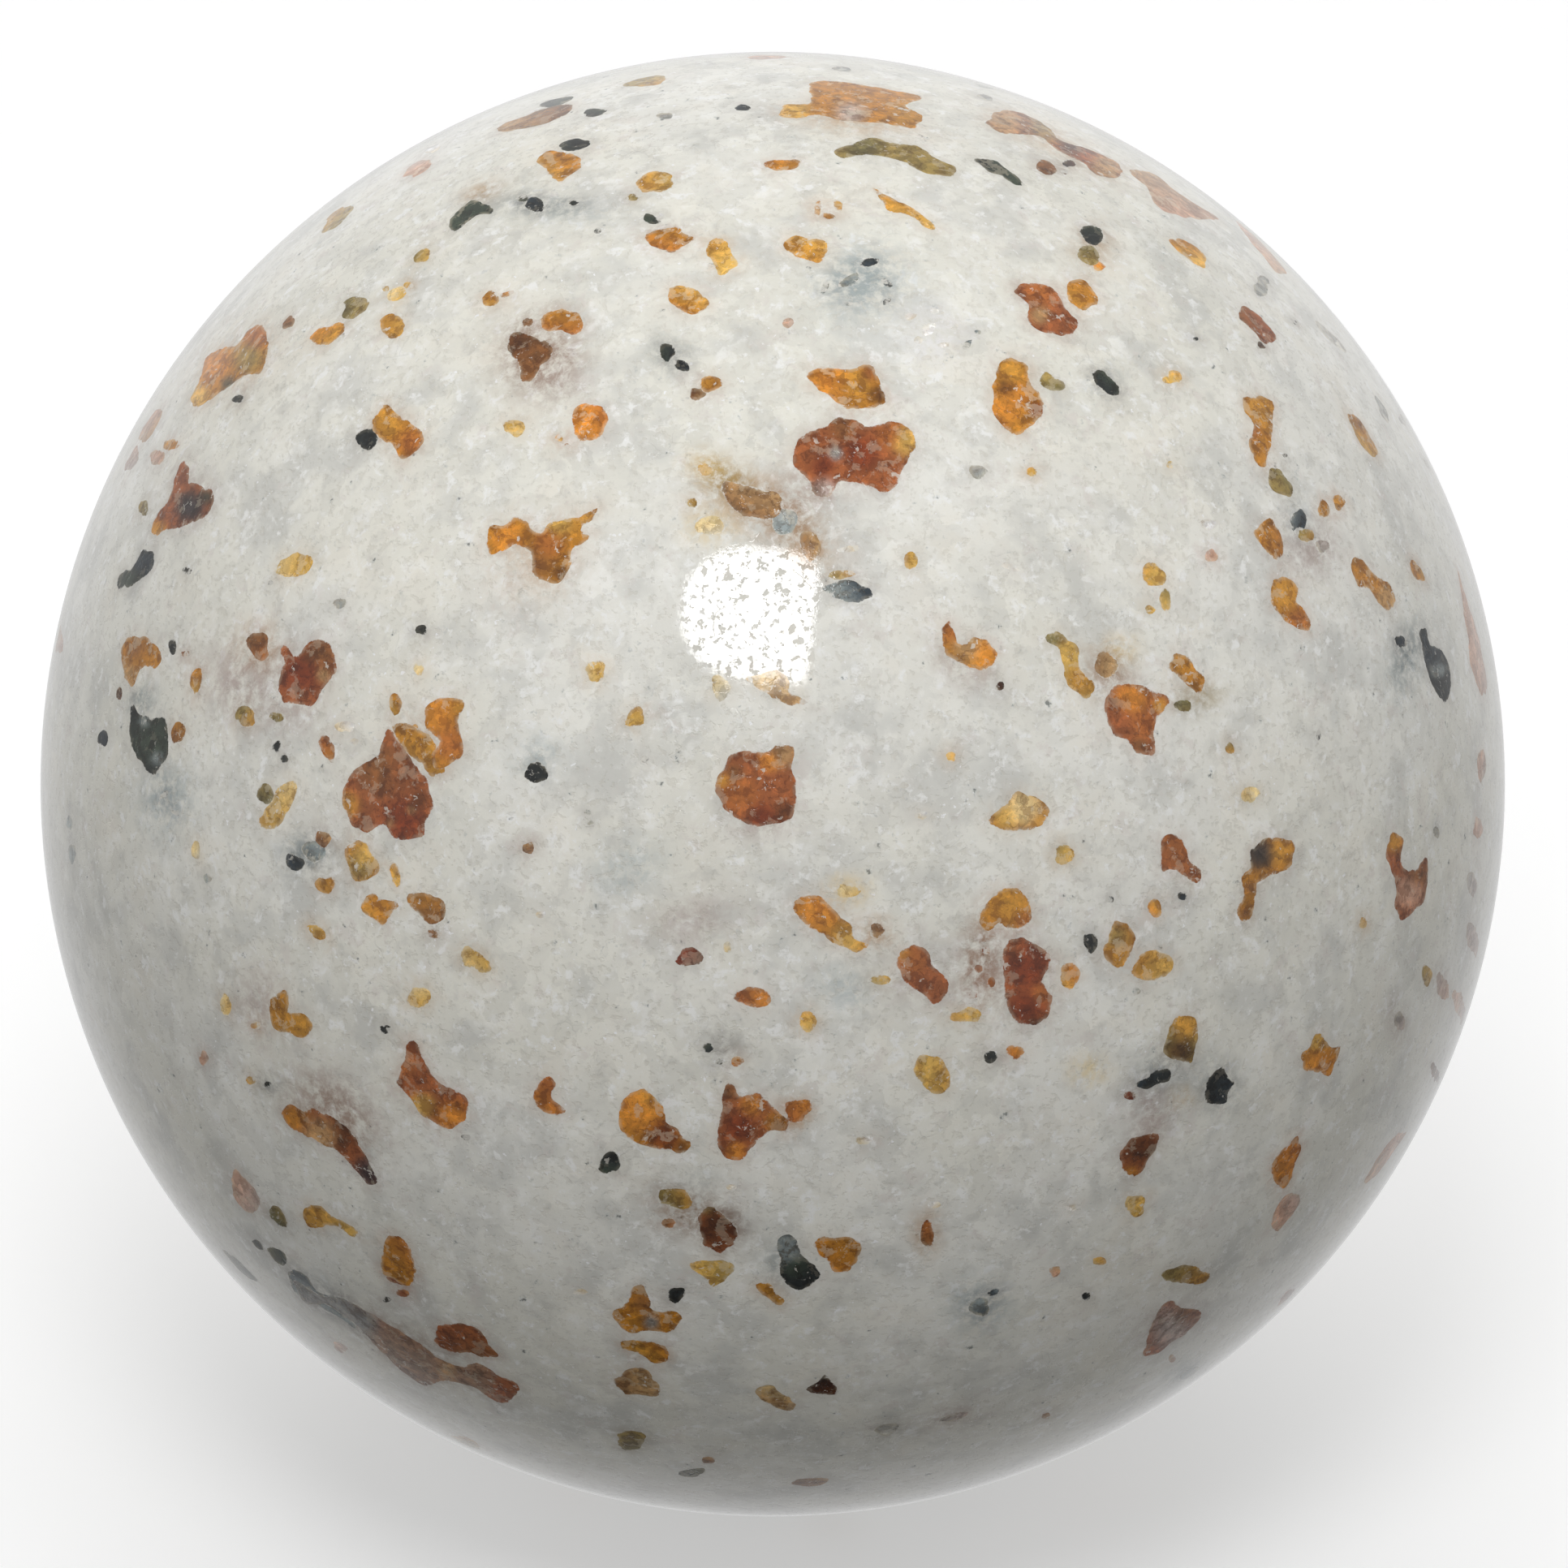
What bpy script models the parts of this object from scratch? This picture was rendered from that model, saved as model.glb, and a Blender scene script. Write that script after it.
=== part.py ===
"""A polished ball of crystalline marble, the size of a pool ball.

The ball is one round body of white marble. Crystals of other minerals have
grown into it, and the polish has cut each of them flush with the round
surface. Every larger crystal is a solid of its own, in a pocket of the marble
that follows it with a small clearance.

Lengths are in metres, +Z is up, and the origin is the centre of the ball. The
side with the best figure faces -Y and is raised by FACE_TILT. Outlines on that
side are given in millimetres to the right of the middle of the face and up
from it, as someone looking straight at the face would measure them. The
crystals on the hidden side are placed by their angles round the ball.
"""

import math
import random

import bmesh
import bpy
from mathutils import Vector

MM = 0.001

# Driving dimensions
BALL_DIAMETER = 57.15 * MM
BALL_RADIUS = BALL_DIAMETER / 2
BALL_SUBDIVISIONS = 5
FACE_TILT = math.radians(30.0)
CRYSTAL_GAP = 0.3 * MM

# A crystal is about as deep as it is wide, and narrows towards its inner end.
DEPTH_PER_WIDTH = 0.8
SHALLOWEST = 1.2 * MM
DEEPEST = 2.8 * MM
TAPER = 0.35
TRIM_HEIGHT = 1.0 * MM

# Outline of a crystal on the hidden side: how far its lobes stand out.
HIDDEN_OUTLINE_POINTS = 11
TWO_LOBE_DEPTH = 0.14
THREE_LOBE_DEPTH = 0.13

# Colour (linear red, green, blue) and roughness of each mineral
MINERALS = {
    "marble": ((0.74, 0.73, 0.70), 0.18),
    "amber": ((0.55, 0.27, 0.035), 0.15),
    "rust": ((0.26, 0.075, 0.022), 0.15),
    "olive": ((0.25, 0.20, 0.055), 0.18),
    "black": ((0.022, 0.028, 0.030), 0.15),
}

# Crystals on the face: mineral, then the outline's corners (right, up) in mm.
FACE_CRYSTALS = [
    # Upper left
    ("amber", [(-19.8, 17.8), (-19.5, 16.8), (-19.8, 15.9), (-20.6, 15.7), (-21.4, 15.2),
               (-22.1, 14.7), (-22.6, 14.9), (-22.2, 15.8), (-22.1, 16.5), (-21.5, 16.9),
               (-20.8, 17.0), (-20.3, 17.6)]),
    ("rust", [(-22.9, 12.5), (-22.6, 12.2), (-22.6, 11.6), (-21.7, 11.4), (-21.6, 11.0),
              (-21.9, 10.4), (-22.5, 10.15), (-23.0, 9.9), (-23.6, 9.8), (-23.9, 9.5),
              (-24.05, 9.9), (-23.9, 10.4), (-23.4, 11.0), (-23.2, 11.8)]),
    ("amber", [(-15.4, 14.0), (-15.0, 14.6), (-14.5, 14.3), (-14.0, 13.9), (-13.4, 13.4),
               (-13.6, 12.9), (-14.3, 12.5), (-14.7, 13.1), (-15.2, 13.4)]),
    # Top
    ("amber", [(1.4, 27.1), (2.0, 27.3), (3.4, 27.15), (4.6, 26.95), (5.9, 26.65), (5.2, 26.3),
               (5.8, 25.9), (5.5, 25.4), (4.2, 25.6), (2.8, 25.7), (1.8, 25.9), (0.9, 25.75),
               (0.2, 25.9), (0.5, 26.35), (1.4, 26.4)]),
    ("olive", [(2.3, 24.5), (3.0, 24.7), (3.9, 25.05), (4.6, 24.8), (5.6, 24.7), (6.4, 24.2),
               (7.1, 23.9), (7.0, 23.5), (6.0, 23.6), (5.4, 23.9), (4.8, 24.15), (3.6, 24.3),
               (2.6, 24.2)]),
    ("rust", [(8.3, 25.7), (8.8, 26.2), (9.6, 26.1), (10.5, 25.7), (11.2, 25.0), (12.4, 24.6),
              (13.3, 24.2), (13.6, 23.75), (13.2, 23.5), (12.6, 23.6), (12.0, 24.1), (11.0, 24.6),
              (10.4, 25.1), (9.4, 25.2), (8.8, 25.3)]),
    ("amber", [(1.35, 15.7), (1.9, 16.0), (2.6, 15.95), (3.1, 15.95), (3.6, 16.15), (3.95, 15.9),
               (4.1, 15.4), (4.35, 14.9), (4.2, 14.6), (3.6, 14.5), (3.1, 14.4), (2.6, 14.6),
               (2.1, 14.95), (1.7, 15.25)]),
    ("rust", [(0.75, 12.2), (0.8, 12.7), (1.2, 13.4), (1.9, 13.7), (2.5, 14.1), (3.1, 13.95),
              (3.7, 13.7), (4.4, 13.9), (5.0, 13.9), (5.4, 13.4), (5.4, 12.7), (5.0, 12.2),
              (4.8, 11.5), (4.2, 11.2), (3.4, 11.5), (2.6, 11.6), (2.2, 11.0), (1.6, 11.1),
              (1.4, 11.7)]),
    # Upper right
    ("amber", [(8.45, 15.4), (8.7, 16.1), (9.2, 16.4), (9.8, 16.1), (9.9, 15.5), (10.35, 15.0),
               (10.4, 14.3), (10.0, 13.75), (9.4, 13.4), (8.9, 13.7), (8.5, 14.2), (8.45, 14.8)]),
    ("rust", [(9.3, 19.0), (9.6, 19.3), (10.3, 19.3), (10.9, 19.0), (11.3, 18.3), (11.8, 17.8),
              (11.6, 17.4), (11.0, 17.3), (10.3, 17.5), (9.8, 17.9), (9.8, 18.5)]),
    ("amber", [(18.2, 14.9), (18.8, 15.0), (19.3, 14.8), (19.35, 14.2), (19.3, 13.6), (19.2, 12.9),
               (19.0, 12.3), (18.6, 12.5), (18.4, 13.2), (18.6, 13.9), (18.2, 14.4)]),
    ("amber", [(19.3, 7.9), (19.8, 8.0), (20.3, 7.6), (20.2, 7.0), (20.7, 6.4), (20.7, 5.9),
               (20.2, 6.0), (19.6, 6.5), (19.2, 7.0), (19.2, 7.5)]),
    ("amber", [(22.3, 8.5), (22.6, 8.8), (23.0, 8.4), (23.4, 8.0), (23.9, 7.7), (24.1, 7.1),
               (23.8, 6.6), (23.4, 7.0), (23.0, 7.6), (22.6, 7.6)]),
    ("black", [(25.0, 5.9), (25.3, 6.1), (25.5, 5.4), (25.9, 5.2), (26.2, 4.6), (26.3, 3.8),
               (26.1, 3.1), (25.7, 3.5), (25.4, 4.2), (25.2, 5.0)]),
    # Left
    ("black", [(-25.4, 7.6), (-25.3, 8.1), (-24.8, 8.4), (-24.4, 9.05), (-24.0, 8.9), (-24.0, 8.4),
               (-24.4, 7.9), (-24.9, 7.7)]),
    ("amber", [(-25.2, 5.2), (-24.9, 5.7), (-24.3, 5.75), (-23.9, 5.3), (-23.6, 4.9), (-23.8, 4.5),
               (-24.4, 4.5), (-24.6, 4.2), (-24.8, 3.8), (-25.1, 4.2)]),
    ("black", [(-24.8, 3.1), (-24.5, 2.7), (-24.0, 2.5), (-23.5, 2.5), (-23.4, 1.9), (-23.4, 1.2),
               (-23.7, 0.6), (-24.0, 0.3), (-24.4, 0.9), (-24.8, 1.5), (-24.9, 2.3)]),
    ("rust", [(-18.9, 5.3), (-18.3, 4.9), (-17.8, 5.4), (-17.2, 5.5), (-16.8, 5.0), (-16.75, 4.3),
              (-17.2, 3.8), (-17.6, 3.1), (-18.2, 3.0), (-18.8, 3.1), (-19.0, 3.9), (-18.8, 4.6)]),
    ("amber", [(-11.0, 9.3), (-10.9, 9.9), (-10.3, 10.0), (-9.9, 10.3), (-9.4, 10.0), (-8.9, 9.6),
               (-8.4, 10.1), (-7.4, 10.3), (-6.7, 10.6), (-6.8, 10.2), (-7.3, 9.8), (-7.0, 9.5),
               (-7.7, 9.0), (-7.8, 8.4), (-8.2, 7.7), (-8.8, 7.8), (-9.3, 8.1), (-9.3, 8.8),
               (-9.8, 9.2), (-10.4, 8.9), (-10.9, 8.8)]),
    ("amber", [(-13.4, 2.6), (-13.1, 3.2), (-12.3, 3.3), (-11.8, 3.1), (-12.0, 2.4), (-11.9, 1.7),
               (-11.9, 1.1), (-12.4, 0.7), (-12.9, 0.5), (-13.1, 1.1), (-12.9, 1.7), (-13.3, 2.1)]),
    ("rust", [(-16.6, -0.5), (-16.2, 0.5), (-15.6, 0.8), (-15.1, 1.2), (-14.8, 2.1), (-14.3, 1.5),
              (-13.8, 0.9), (-13.4, 0.3), (-13.2, -0.2), (-13.0, -0.8), (-13.3, -1.4),
              (-13.4, -2.0), (-14.0, -2.1), (-14.6, -2.1), (-15.0, -1.6), (-15.6, -1.9),
              (-16.2, -1.7), (-16.4, -1.2)]),
    ("amber", [(-16.4, -2.6), (-16.2, -3.6), (-15.8, -3.8), (-15.2, -3.5), (-15.1, -3.1),
               (-15.5, -2.6), (-15.7, -2.25), (-16.2, -2.15)]),
    # Middle
    ("rust", [(-2.15, -0.1), (-1.9, 0.6), (-1.6, 1.1), (-0.9, 1.3), (-0.2, 1.3), (0.2, 1.55),
              (0.75, 1.4), (0.7, 0.8), (0.9, 0.1), (0.85, -0.7), (0.8, -1.3), (0.2, -1.5),
              (-0.5, -1.65), (-1.3, -1.4), (-1.9, -0.9)]),
    ("amber", [(6.5, 5.3), (6.5, 6.0), (6.8, 6.3), (7.0, 5.9), (7.2, 5.4), (7.7, 5.7), (8.2, 5.5),
               (8.65, 5.1), (8.4, 4.6), (7.8, 4.35), (7.2, 4.7), (6.8, 4.9)]),
    ("amber", [(8.3, -1.4), (8.8, -0.8), (9.3, -0.3), (9.9, -0.35), (10.5, -0.8), (10.65, -1.3),
               (10.2, -1.75), (9.5, -1.85), (8.8, -1.75)]),
    ("amber", [(0.7, -4.6), (1.2, -4.2), (1.8, -4.3), (2.3, -4.8), (2.8, -5.3), (3.2, -5.9),
               (3.7, -6.2), (3.1, -6.4), (2.4, -6.1), (1.9, -5.7), (1.3, -5.5), (0.9, -5.0)]),
    ("rust", [(4.7, -6.9), (4.9, -6.3), (5.5, -6.1), (6.0, -6.5), (6.1, -7.0), (6.6, -7.4),
              (6.7, -7.9), (6.2, -8.4), (5.8, -8.0), (5.3, -7.8), (4.9, -7.4)]),
    ("amber", [(7.9, -5.2), (8.2, -4.6), (8.6, -4.1), (9.1, -4.0), (9.6, -4.2), (9.9, -4.7),
               (9.95, -5.2), (9.6, -5.5), (9.1, -5.5), (8.7, -5.4), (8.2, -5.6)]),
    ("rust", [(8.8, -6.8), (9.0, -6.0), (9.6, -5.9), (10.2, -6.2), (10.7, -6.6), (10.6, -7.1),
              (10.4, -7.6), (10.75, -8.2), (10.6, -8.9), (10.1, -9.3), (9.4, -9.2), (9.0, -8.5),
              (8.9, -7.7)]),
    # Right
    ("olive", [(10.5, 5.6), (10.8, 5.9), (11.3, 5.6), (11.75, 5.2), (11.8, 4.5), (12.35, 3.8),
               (12.1, 3.3), (11.7, 3.4), (11.2, 3.9), (11.1, 4.6), (10.9, 5.2)]),
    ("rust", [(12.7, 3.0), (12.9, 3.5), (13.4, 3.85), (14.2, 3.8), (14.9, 3.5), (15.3, 3.2),
              (15.0, 2.8), (14.6, 2.3), (14.7, 1.6), (14.6, 1.15), (14.0, 1.2), (13.6, 1.7),
              (13.1, 1.9), (12.8, 2.4)]),
    ("amber", [(19.1, -2.0), (19.7, -2.0), (20.15, -2.3), (20.1, -2.9), (19.7, -3.4),
               (19.2, -3.6), (18.7, -3.8), (18.6, -4.5), (18.4, -5.2), (18.0, -5.3),
               (17.8, -4.9), (18.1, -4.3), (18.1, -3.6), (18.4, -3.2), (18.4, -2.6),
               (18.7, -2.3)]),
    ("rust", [(23.7, -2.8), (23.9, -1.9), (24.4, -2.1), (24.3, -2.8), (24.5, -3.3), (24.9, -3.3),
              (25.3, -2.9), (25.4, -3.8), (25.2, -4.6), (24.7, -5.0), (24.3, -5.25),
              (24.05, -4.6), (24.1, -3.8)]),
    ("amber", [(12.7, -6.4), (13.0, -5.7), (13.1, -5.2), (13.6, -5.4), (13.9, -5.9),
               (13.7, -6.6), (13.5, -7.1), (13.0, -7.0)]),
    ("olive", [(15.2, -9.6), (15.6, -9.0), (16.2, -9.0), (16.4, -9.6), (16.3, -10.2),
               (16.1, -10.8), (15.6, -10.6), (15.1, -10.4)]),
    ("amber", [(20.4, -10.5), (20.7, -10.2), (20.9, -9.7), (21.2, -9.7), (21.4, -10.1),
               (21.9, -10.2), (21.7, -10.9), (21.5, -11.3), (21.0, -11.1), (20.5, -11.0)]),
    # Lower left
    ("rust", [(-14.1, -10.1), (-13.8, -9.8), (-13.5, -10.3), (-13.2, -11.0), (-12.6, -11.6),
              (-11.9, -12.0), (-11.7, -12.5), (-12.0, -13.0), (-12.5, -13.25), (-13.1, -13.0),
              (-13.7, -12.5), (-14.0, -12.0), (-14.5, -11.5), (-14.4, -11.0), (-14.2, -10.6)]),
    ("rust", [(-19.0, -12.7), (-18.7, -12.3), (-18.1, -12.6), (-17.5, -12.6), (-16.9, -13.0),
              (-16.2, -13.4), (-15.9, -14.0), (-15.4, -14.8), (-15.2, -15.3), (-15.6, -15.5),
              (-16.1, -14.9), (-16.7, -14.3), (-17.1, -14.0), (-17.8, -13.7), (-18.6, -13.3)]),
    ("rust", [(-18.8, -19.1), (-17.6, -19.75), (-16.8, -19.95), (-15.6, -20.5), (-14.6, -21.1),
              (-13.9, -21.5), (-13.0, -22.2), (-12.2, -22.5), (-11.4, -22.4), (-10.6, -22.9),
              (-9.6, -23.3), (-10.1, -23.9), (-10.6, -24.0), (-11.6, -23.4), (-12.6, -23.1),
              (-13.5, -23.3), (-14.2, -22.9), (-15.0, -22.2), (-16.0, -21.1), (-17.3, -20.2),
              (-18.3, -20.1)]),
    # Bottom
    ("amber", [(-5.9, -12.3), (-5.5, -11.9), (-5.0, -11.75), (-4.5, -12.0), (-4.15, -12.5),
               (-4.1, -13.0), (-3.6, -13.3), (-3.2, -13.8), (-3.4, -14.2), (-4.0, -14.1),
               (-4.6, -13.9), (-5.3, -13.7), (-5.8, -13.4), (-5.9, -12.9)]),
    ("rust", [(-2.1, -13.6), (-2.0, -12.8), (-1.9, -12.0), (-1.7, -11.5), (-1.45, -11.6),
              (-1.3, -11.95), (-0.6, -11.85), (-0.2, -12.1), (0.1, -12.5), (0.6, -12.9),
              (0.6, -13.3), (0.1, -13.3), (-0.3, -13.5), (-0.8, -14.0), (-1.3, -14.5),
              (-1.8, -14.4), (-2.0, -14.0)]),
    ("rust", [(-2.9, -16.6), (-2.6, -16.3), (-2.1, -16.3), (-1.7, -16.8), (-1.4, -17.2),
              (-1.6, -17.8), (-2.0, -18.1), (-2.5, -17.8), (-2.8, -17.3)]),
    ("black", [(0.2, -17.6), (0.6, -17.3), (0.9, -17.5), (1.1, -18.1), (1.6, -18.5), (1.9, -18.9),
               (1.5, -19.3), (0.9, -19.5), (0.4, -19.1), (0.3, -18.5)]),
    ("amber", [(-6.2, -20.4), (-5.6, -20.0), (-5.4, -19.4), (-5.0, -19.3), (-4.8, -19.9),
               (-4.5, -20.3), (-3.7, -20.3), (-3.5, -20.6), (-3.9, -21.1), (-4.6, -21.1),
               (-5.5, -21.2), (-6.0, -20.8)]),
    # Lower right
    ("rust", [(13.4, -14.4), (13.6, -13.8), (14.2, -13.5), (14.7, -13.4), (14.9, -13.7),
              (14.6, -14.3), (14.3, -14.8), (13.9, -15.2), (13.5, -15.0)]),
    ("rust", [(14.5, -21.3), (14.7, -20.8), (15.0, -20.2), (15.4, -20.0), (15.9, -20.3),
              (16.5, -20.35), (16.6, -20.7), (16.0, -21.3), (15.4, -21.7), (14.9, -22.1),
              (14.4, -22.1)]),
]

# Crystals on the hidden side: mineral, azimuth from -Y towards +X and elevation in
# degrees, length and width in mm, and the turn of the long side in degrees.
HIDDEN_CRYSTALS = [
    ("rust", 180, -8, 4.6, 3.2, 20),
    ("amber", 150, 22, 3.8, 2.4, -30),
    ("amber", 211, 26, 4.4, 2.2, 60),
    ("amber", 138, -18, 3.4, 2.8, 10),
    ("rust", 226, -24, 5.2, 2.4, -40),
    ("amber", 181, 46, 3.4, 2.6, 0),
    ("rust", 108, -26, 4.0, 2.2, 45),
    ("olive", 252, -31, 3.2, 2.4, 0),
    ("amber", 167, -46, 3.6, 2.8, 80),
    ("rust", 206, -61, 4.4, 2.2, 30),
    ("amber", 62, -61, 3.2, 2.4, 0),
    ("black", 202, 7, 2.4, 1.9, 70),
]


def clear_scene():
    """Remove whatever the file already holds."""
    for thing in list(bpy.data.objects):
        bpy.data.objects.remove(thing)


def make_materials():
    """One Principled material for each mineral."""
    materials = {}
    for mineral, (colour, roughness) in MINERALS.items():
        material = bpy.data.materials.new(mineral)
        material.use_nodes = True
        shader = material.node_tree.nodes["Principled BSDF"]
        shader.inputs["Base Color"].default_value = (*colour, 1.0)
        shader.inputs["Roughness"].default_value = roughness
        shader.inputs["Metallic"].default_value = 0.0
        materials[mineral] = material
    return materials


def add_object(name, mesh, material=None):
    """Link a mesh into the scene; without a material it is a hidden guide."""
    thing = bpy.data.objects.new(name, mesh)
    bpy.context.scene.collection.objects.link(thing)
    if material is None:
        thing.hide_render = True
        thing.display_type = "WIRE"
    else:
        mesh.materials.append(material)
    return thing


def ball_mesh(name):
    """The round surface, in small triangles of equal size."""
    mesh = bpy.data.meshes.new(name)
    shape = bmesh.new()
    bmesh.ops.create_icosphere(shape, subdivisions=BALL_SUBDIVISIONS, radius=BALL_RADIUS)
    shape.to_mesh(mesh)
    shape.free()
    mesh.shade_smooth()
    return mesh


def on_face(right, up):
    """The point of the surface that lies this far right and up on the face."""
    rise = Vector((0.0, math.sin(FACE_TILT), math.cos(FACE_TILT)))
    front = Vector((0.0, -math.cos(FACE_TILT), math.sin(FACE_TILT)))
    flat = Vector((1.0, 0.0, 0.0)) * right + rise * up
    return flat + front * math.sqrt(BALL_RADIUS ** 2 - flat.length_squared)


def tangent_frame(direction):
    """Two directions along the surface at a point: sideways and upwards."""
    sideways = Vector((0.0, 0.0, 1.0)).cross(direction).normalized()
    return sideways, direction.cross(sideways)


def hidden_outline(azimuth, elevation, length, width, turn, seed):
    """A lobed oval on the hidden side."""
    azimuth, elevation, turn = (math.radians(angle) for angle in (azimuth, elevation, turn))
    direction = Vector((math.sin(azimuth) * math.cos(elevation),
                        -math.cos(azimuth) * math.cos(elevation),
                        math.sin(elevation)))
    sideways, upwards = tangent_frame(direction)
    chance = random.Random(seed)
    two_lobe_start = chance.uniform(0.0, math.tau)
    three_lobe_start = chance.uniform(0.0, math.tau)
    outline = []
    for step in range(HIDDEN_OUTLINE_POINTS):
        angle = math.tau * step / HIDDEN_OUTLINE_POINTS
        reach = (1.0 + TWO_LOBE_DEPTH * math.cos(2 * angle + two_lobe_start)
                 + THREE_LOBE_DEPTH * math.cos(3 * angle + three_lobe_start))
        along = reach * length * MM / 2 * math.cos(angle)
        across = reach * width * MM / 2 * math.sin(angle)
        point = (direction * BALL_RADIUS
                 + sideways * (along * math.cos(turn) - across * math.sin(turn))
                 + upwards * (along * math.sin(turn) + across * math.cos(turn)))
        outline.append(point.normalized() * BALL_RADIUS)
    return outline


def grown(outline, distance):
    """A flat outline that runs anticlockwise, moved outwards by a distance."""
    moved = []
    for index, point in enumerate(outline):
        before = (point - outline[index - 1]).normalized()
        after = (outline[(index + 1) % len(outline)] - point).normalized()
        outwards = Vector((before.y + after.y, -before.x - after.x)).normalized()
        slant = max(0.6, outwards.dot(Vector((before.y, -before.x))))
        moved.append(point + outwards * distance / slant)
    return moved


def signed_area(outline):
    """Area of a flat outline, positive when it runs anticlockwise."""
    total = 0.0
    for index, point in enumerate(outline):
        previous = outline[index - 1]
        total += previous.x * point.y - previous.y * point.x
    return total / 2


def crystal_mesh(name, outline, gap):
    """A tapered prism over an outline of the surface, standing out past the surface.

    With a gap it is the crystal's pocket: larger by the gap on every side."""
    direction = sum(outline, Vector()).normalized()
    sideways, upwards = tangent_frame(direction)
    flat = [Vector((point.dot(sideways), point.dot(upwards))) for point in outline]
    if signed_area(flat) < 0.0:
        flat.reverse()
    middle = sum(flat, Vector((0.0, 0.0))) / len(flat)
    longest = max((a - b).length for a in flat for b in flat)
    width = signed_area(flat) / longest
    heights = [point.dot(direction) for point in outline]
    depth = min(DEEPEST, max(SHALLOWEST, DEPTH_PER_WIDTH * width))
    surface = sum(heights) / len(heights)
    inner_end = min(heights) - depth

    def ring(height, shape):
        scale = 1.0 - TAPER * (surface - height) / (surface - inner_end)
        scaled = [middle + (point - middle) * scale for point in flat]
        place = direction * (height - (gap if height == inner_end else 0.0))
        return [shape.verts.new(place + sideways * point.x + upwards * point.y)
                for point in grown(scaled, gap)]

    shape = bmesh.new()
    outer = ring(BALL_RADIUS + TRIM_HEIGHT, shape)
    inner = ring(inner_end, shape)
    shape.faces.new(outer)
    shape.faces.new(list(reversed(inner)))
    for index in range(len(outer)):
        shape.faces.new((outer[index - 1], inner[index - 1], inner[index], outer[index]))
    mesh = bpy.data.meshes.new(name)
    shape.to_mesh(mesh)
    shape.free()
    return mesh


def add_boolean(target, operation, tool):
    """Cut a solid with another, or keep what the two share."""
    modifier = target.modifiers.new(tool.name, "BOOLEAN")
    modifier.operation = operation
    modifier.solver = "EXACT"
    modifier.object = tool


def add_crystal(name, outline, material, body, ball_guide):
    """One crystal, trimmed flush with the ball, and its pocket in the marble."""
    crystal = add_object(name, crystal_mesh(name, outline, 0.0), material)
    add_boolean(crystal, "INTERSECT", ball_guide)
    pocket = add_object(f"pocket_for_{name}", crystal_mesh(f"pocket_for_{name}", outline,
                                                          CRYSTAL_GAP))
    add_boolean(body, "DIFFERENCE", pocket)


def all_outlines():
    """Every crystal's mineral and outline on the surface, face first."""
    for mineral, corners in FACE_CRYSTALS:
        yield mineral, [on_face(right * MM, up * MM) for right, up in corners]
    for seed, (mineral, *place) in enumerate(HIDDEN_CRYSTALS):
        yield mineral, hidden_outline(*place, seed)


def build():
    """The marble body with every crystal in its pocket."""
    clear_scene()
    materials = make_materials()
    ball_guide = add_object("ball_guide", ball_mesh("ball_guide"))
    body = add_object("marble_body", ball_mesh("marble_body"), materials["marble"])
    numbers = dict.fromkeys(MINERALS, 0)
    for mineral, outline in all_outlines():
        numbers[mineral] += 1
        name = f"{mineral}_crystal_{numbers[mineral]:02d}"
        add_crystal(name, outline, materials[mineral], body, ball_guide)


build()
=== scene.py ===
"""Looks of the polished stone ball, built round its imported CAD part.

Lengths in the tables are in millimetres on the face of the ball, to the right of
its middle and up from it, as someone looking straight at the face measures them.
"""

import math

import bpy
import numpy as np
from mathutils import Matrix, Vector
from mathutils.geometry import delaunay_2d_cdt


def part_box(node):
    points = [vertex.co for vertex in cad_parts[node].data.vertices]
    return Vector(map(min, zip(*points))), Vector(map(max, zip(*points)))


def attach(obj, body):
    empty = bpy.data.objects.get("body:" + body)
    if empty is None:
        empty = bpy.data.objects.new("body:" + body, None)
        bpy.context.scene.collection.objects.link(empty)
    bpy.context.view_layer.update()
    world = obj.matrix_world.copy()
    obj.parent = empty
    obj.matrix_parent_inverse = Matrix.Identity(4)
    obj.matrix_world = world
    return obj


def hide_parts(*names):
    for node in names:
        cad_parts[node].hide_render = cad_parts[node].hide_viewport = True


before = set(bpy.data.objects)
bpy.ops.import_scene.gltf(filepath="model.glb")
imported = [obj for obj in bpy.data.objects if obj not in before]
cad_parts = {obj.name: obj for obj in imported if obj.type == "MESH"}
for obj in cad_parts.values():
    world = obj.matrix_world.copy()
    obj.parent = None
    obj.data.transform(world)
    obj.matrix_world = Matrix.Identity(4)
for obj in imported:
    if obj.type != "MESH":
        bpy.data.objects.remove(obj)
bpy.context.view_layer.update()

# ---------------------------------------------------------------- the ball's own frame
body_low, body_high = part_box("marble_body")
RADIUS = (body_high.z - body_low.z) / 2
CENTRE = np.array((body_low + body_high) / 2)
FULL_RADIUS_MM = 28.575
MM = RADIUS / FULL_RADIUS_MM
FACE_ELEVATION = 30.0
TILT = math.radians(FACE_ELEVATION)
RIGHT = np.array((1.0, 0.0, 0.0))
RISE = np.array((0.0, math.sin(TILT), math.cos(TILT)))
FRONT = np.array((0.0, -math.cos(TILT), math.sin(TILT)))
LIMB_MM = 28.42


def on_face(flat):
    """Unit directions of points given in mm on the face."""
    flat = np.asarray(flat, float)
    reach = np.linalg.norm(flat, axis=1)
    flat = flat * np.minimum(1.0, LIMB_MM / np.maximum(reach, 1e-6))[:, None] / FULL_RADIUS_MM
    depth = np.sqrt(1.0 - (flat ** 2).sum(1))
    return flat[:, :1] * RIGHT + flat[:, 1:] * RISE + depth[:, None] * FRONT


def face_place(directions):
    """Where directions lie on the face in mm, and how far they turn towards it."""
    return (directions @ np.stack([RIGHT, RISE], 1) * FULL_RADIUS_MM, directions @ FRONT)


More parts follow.
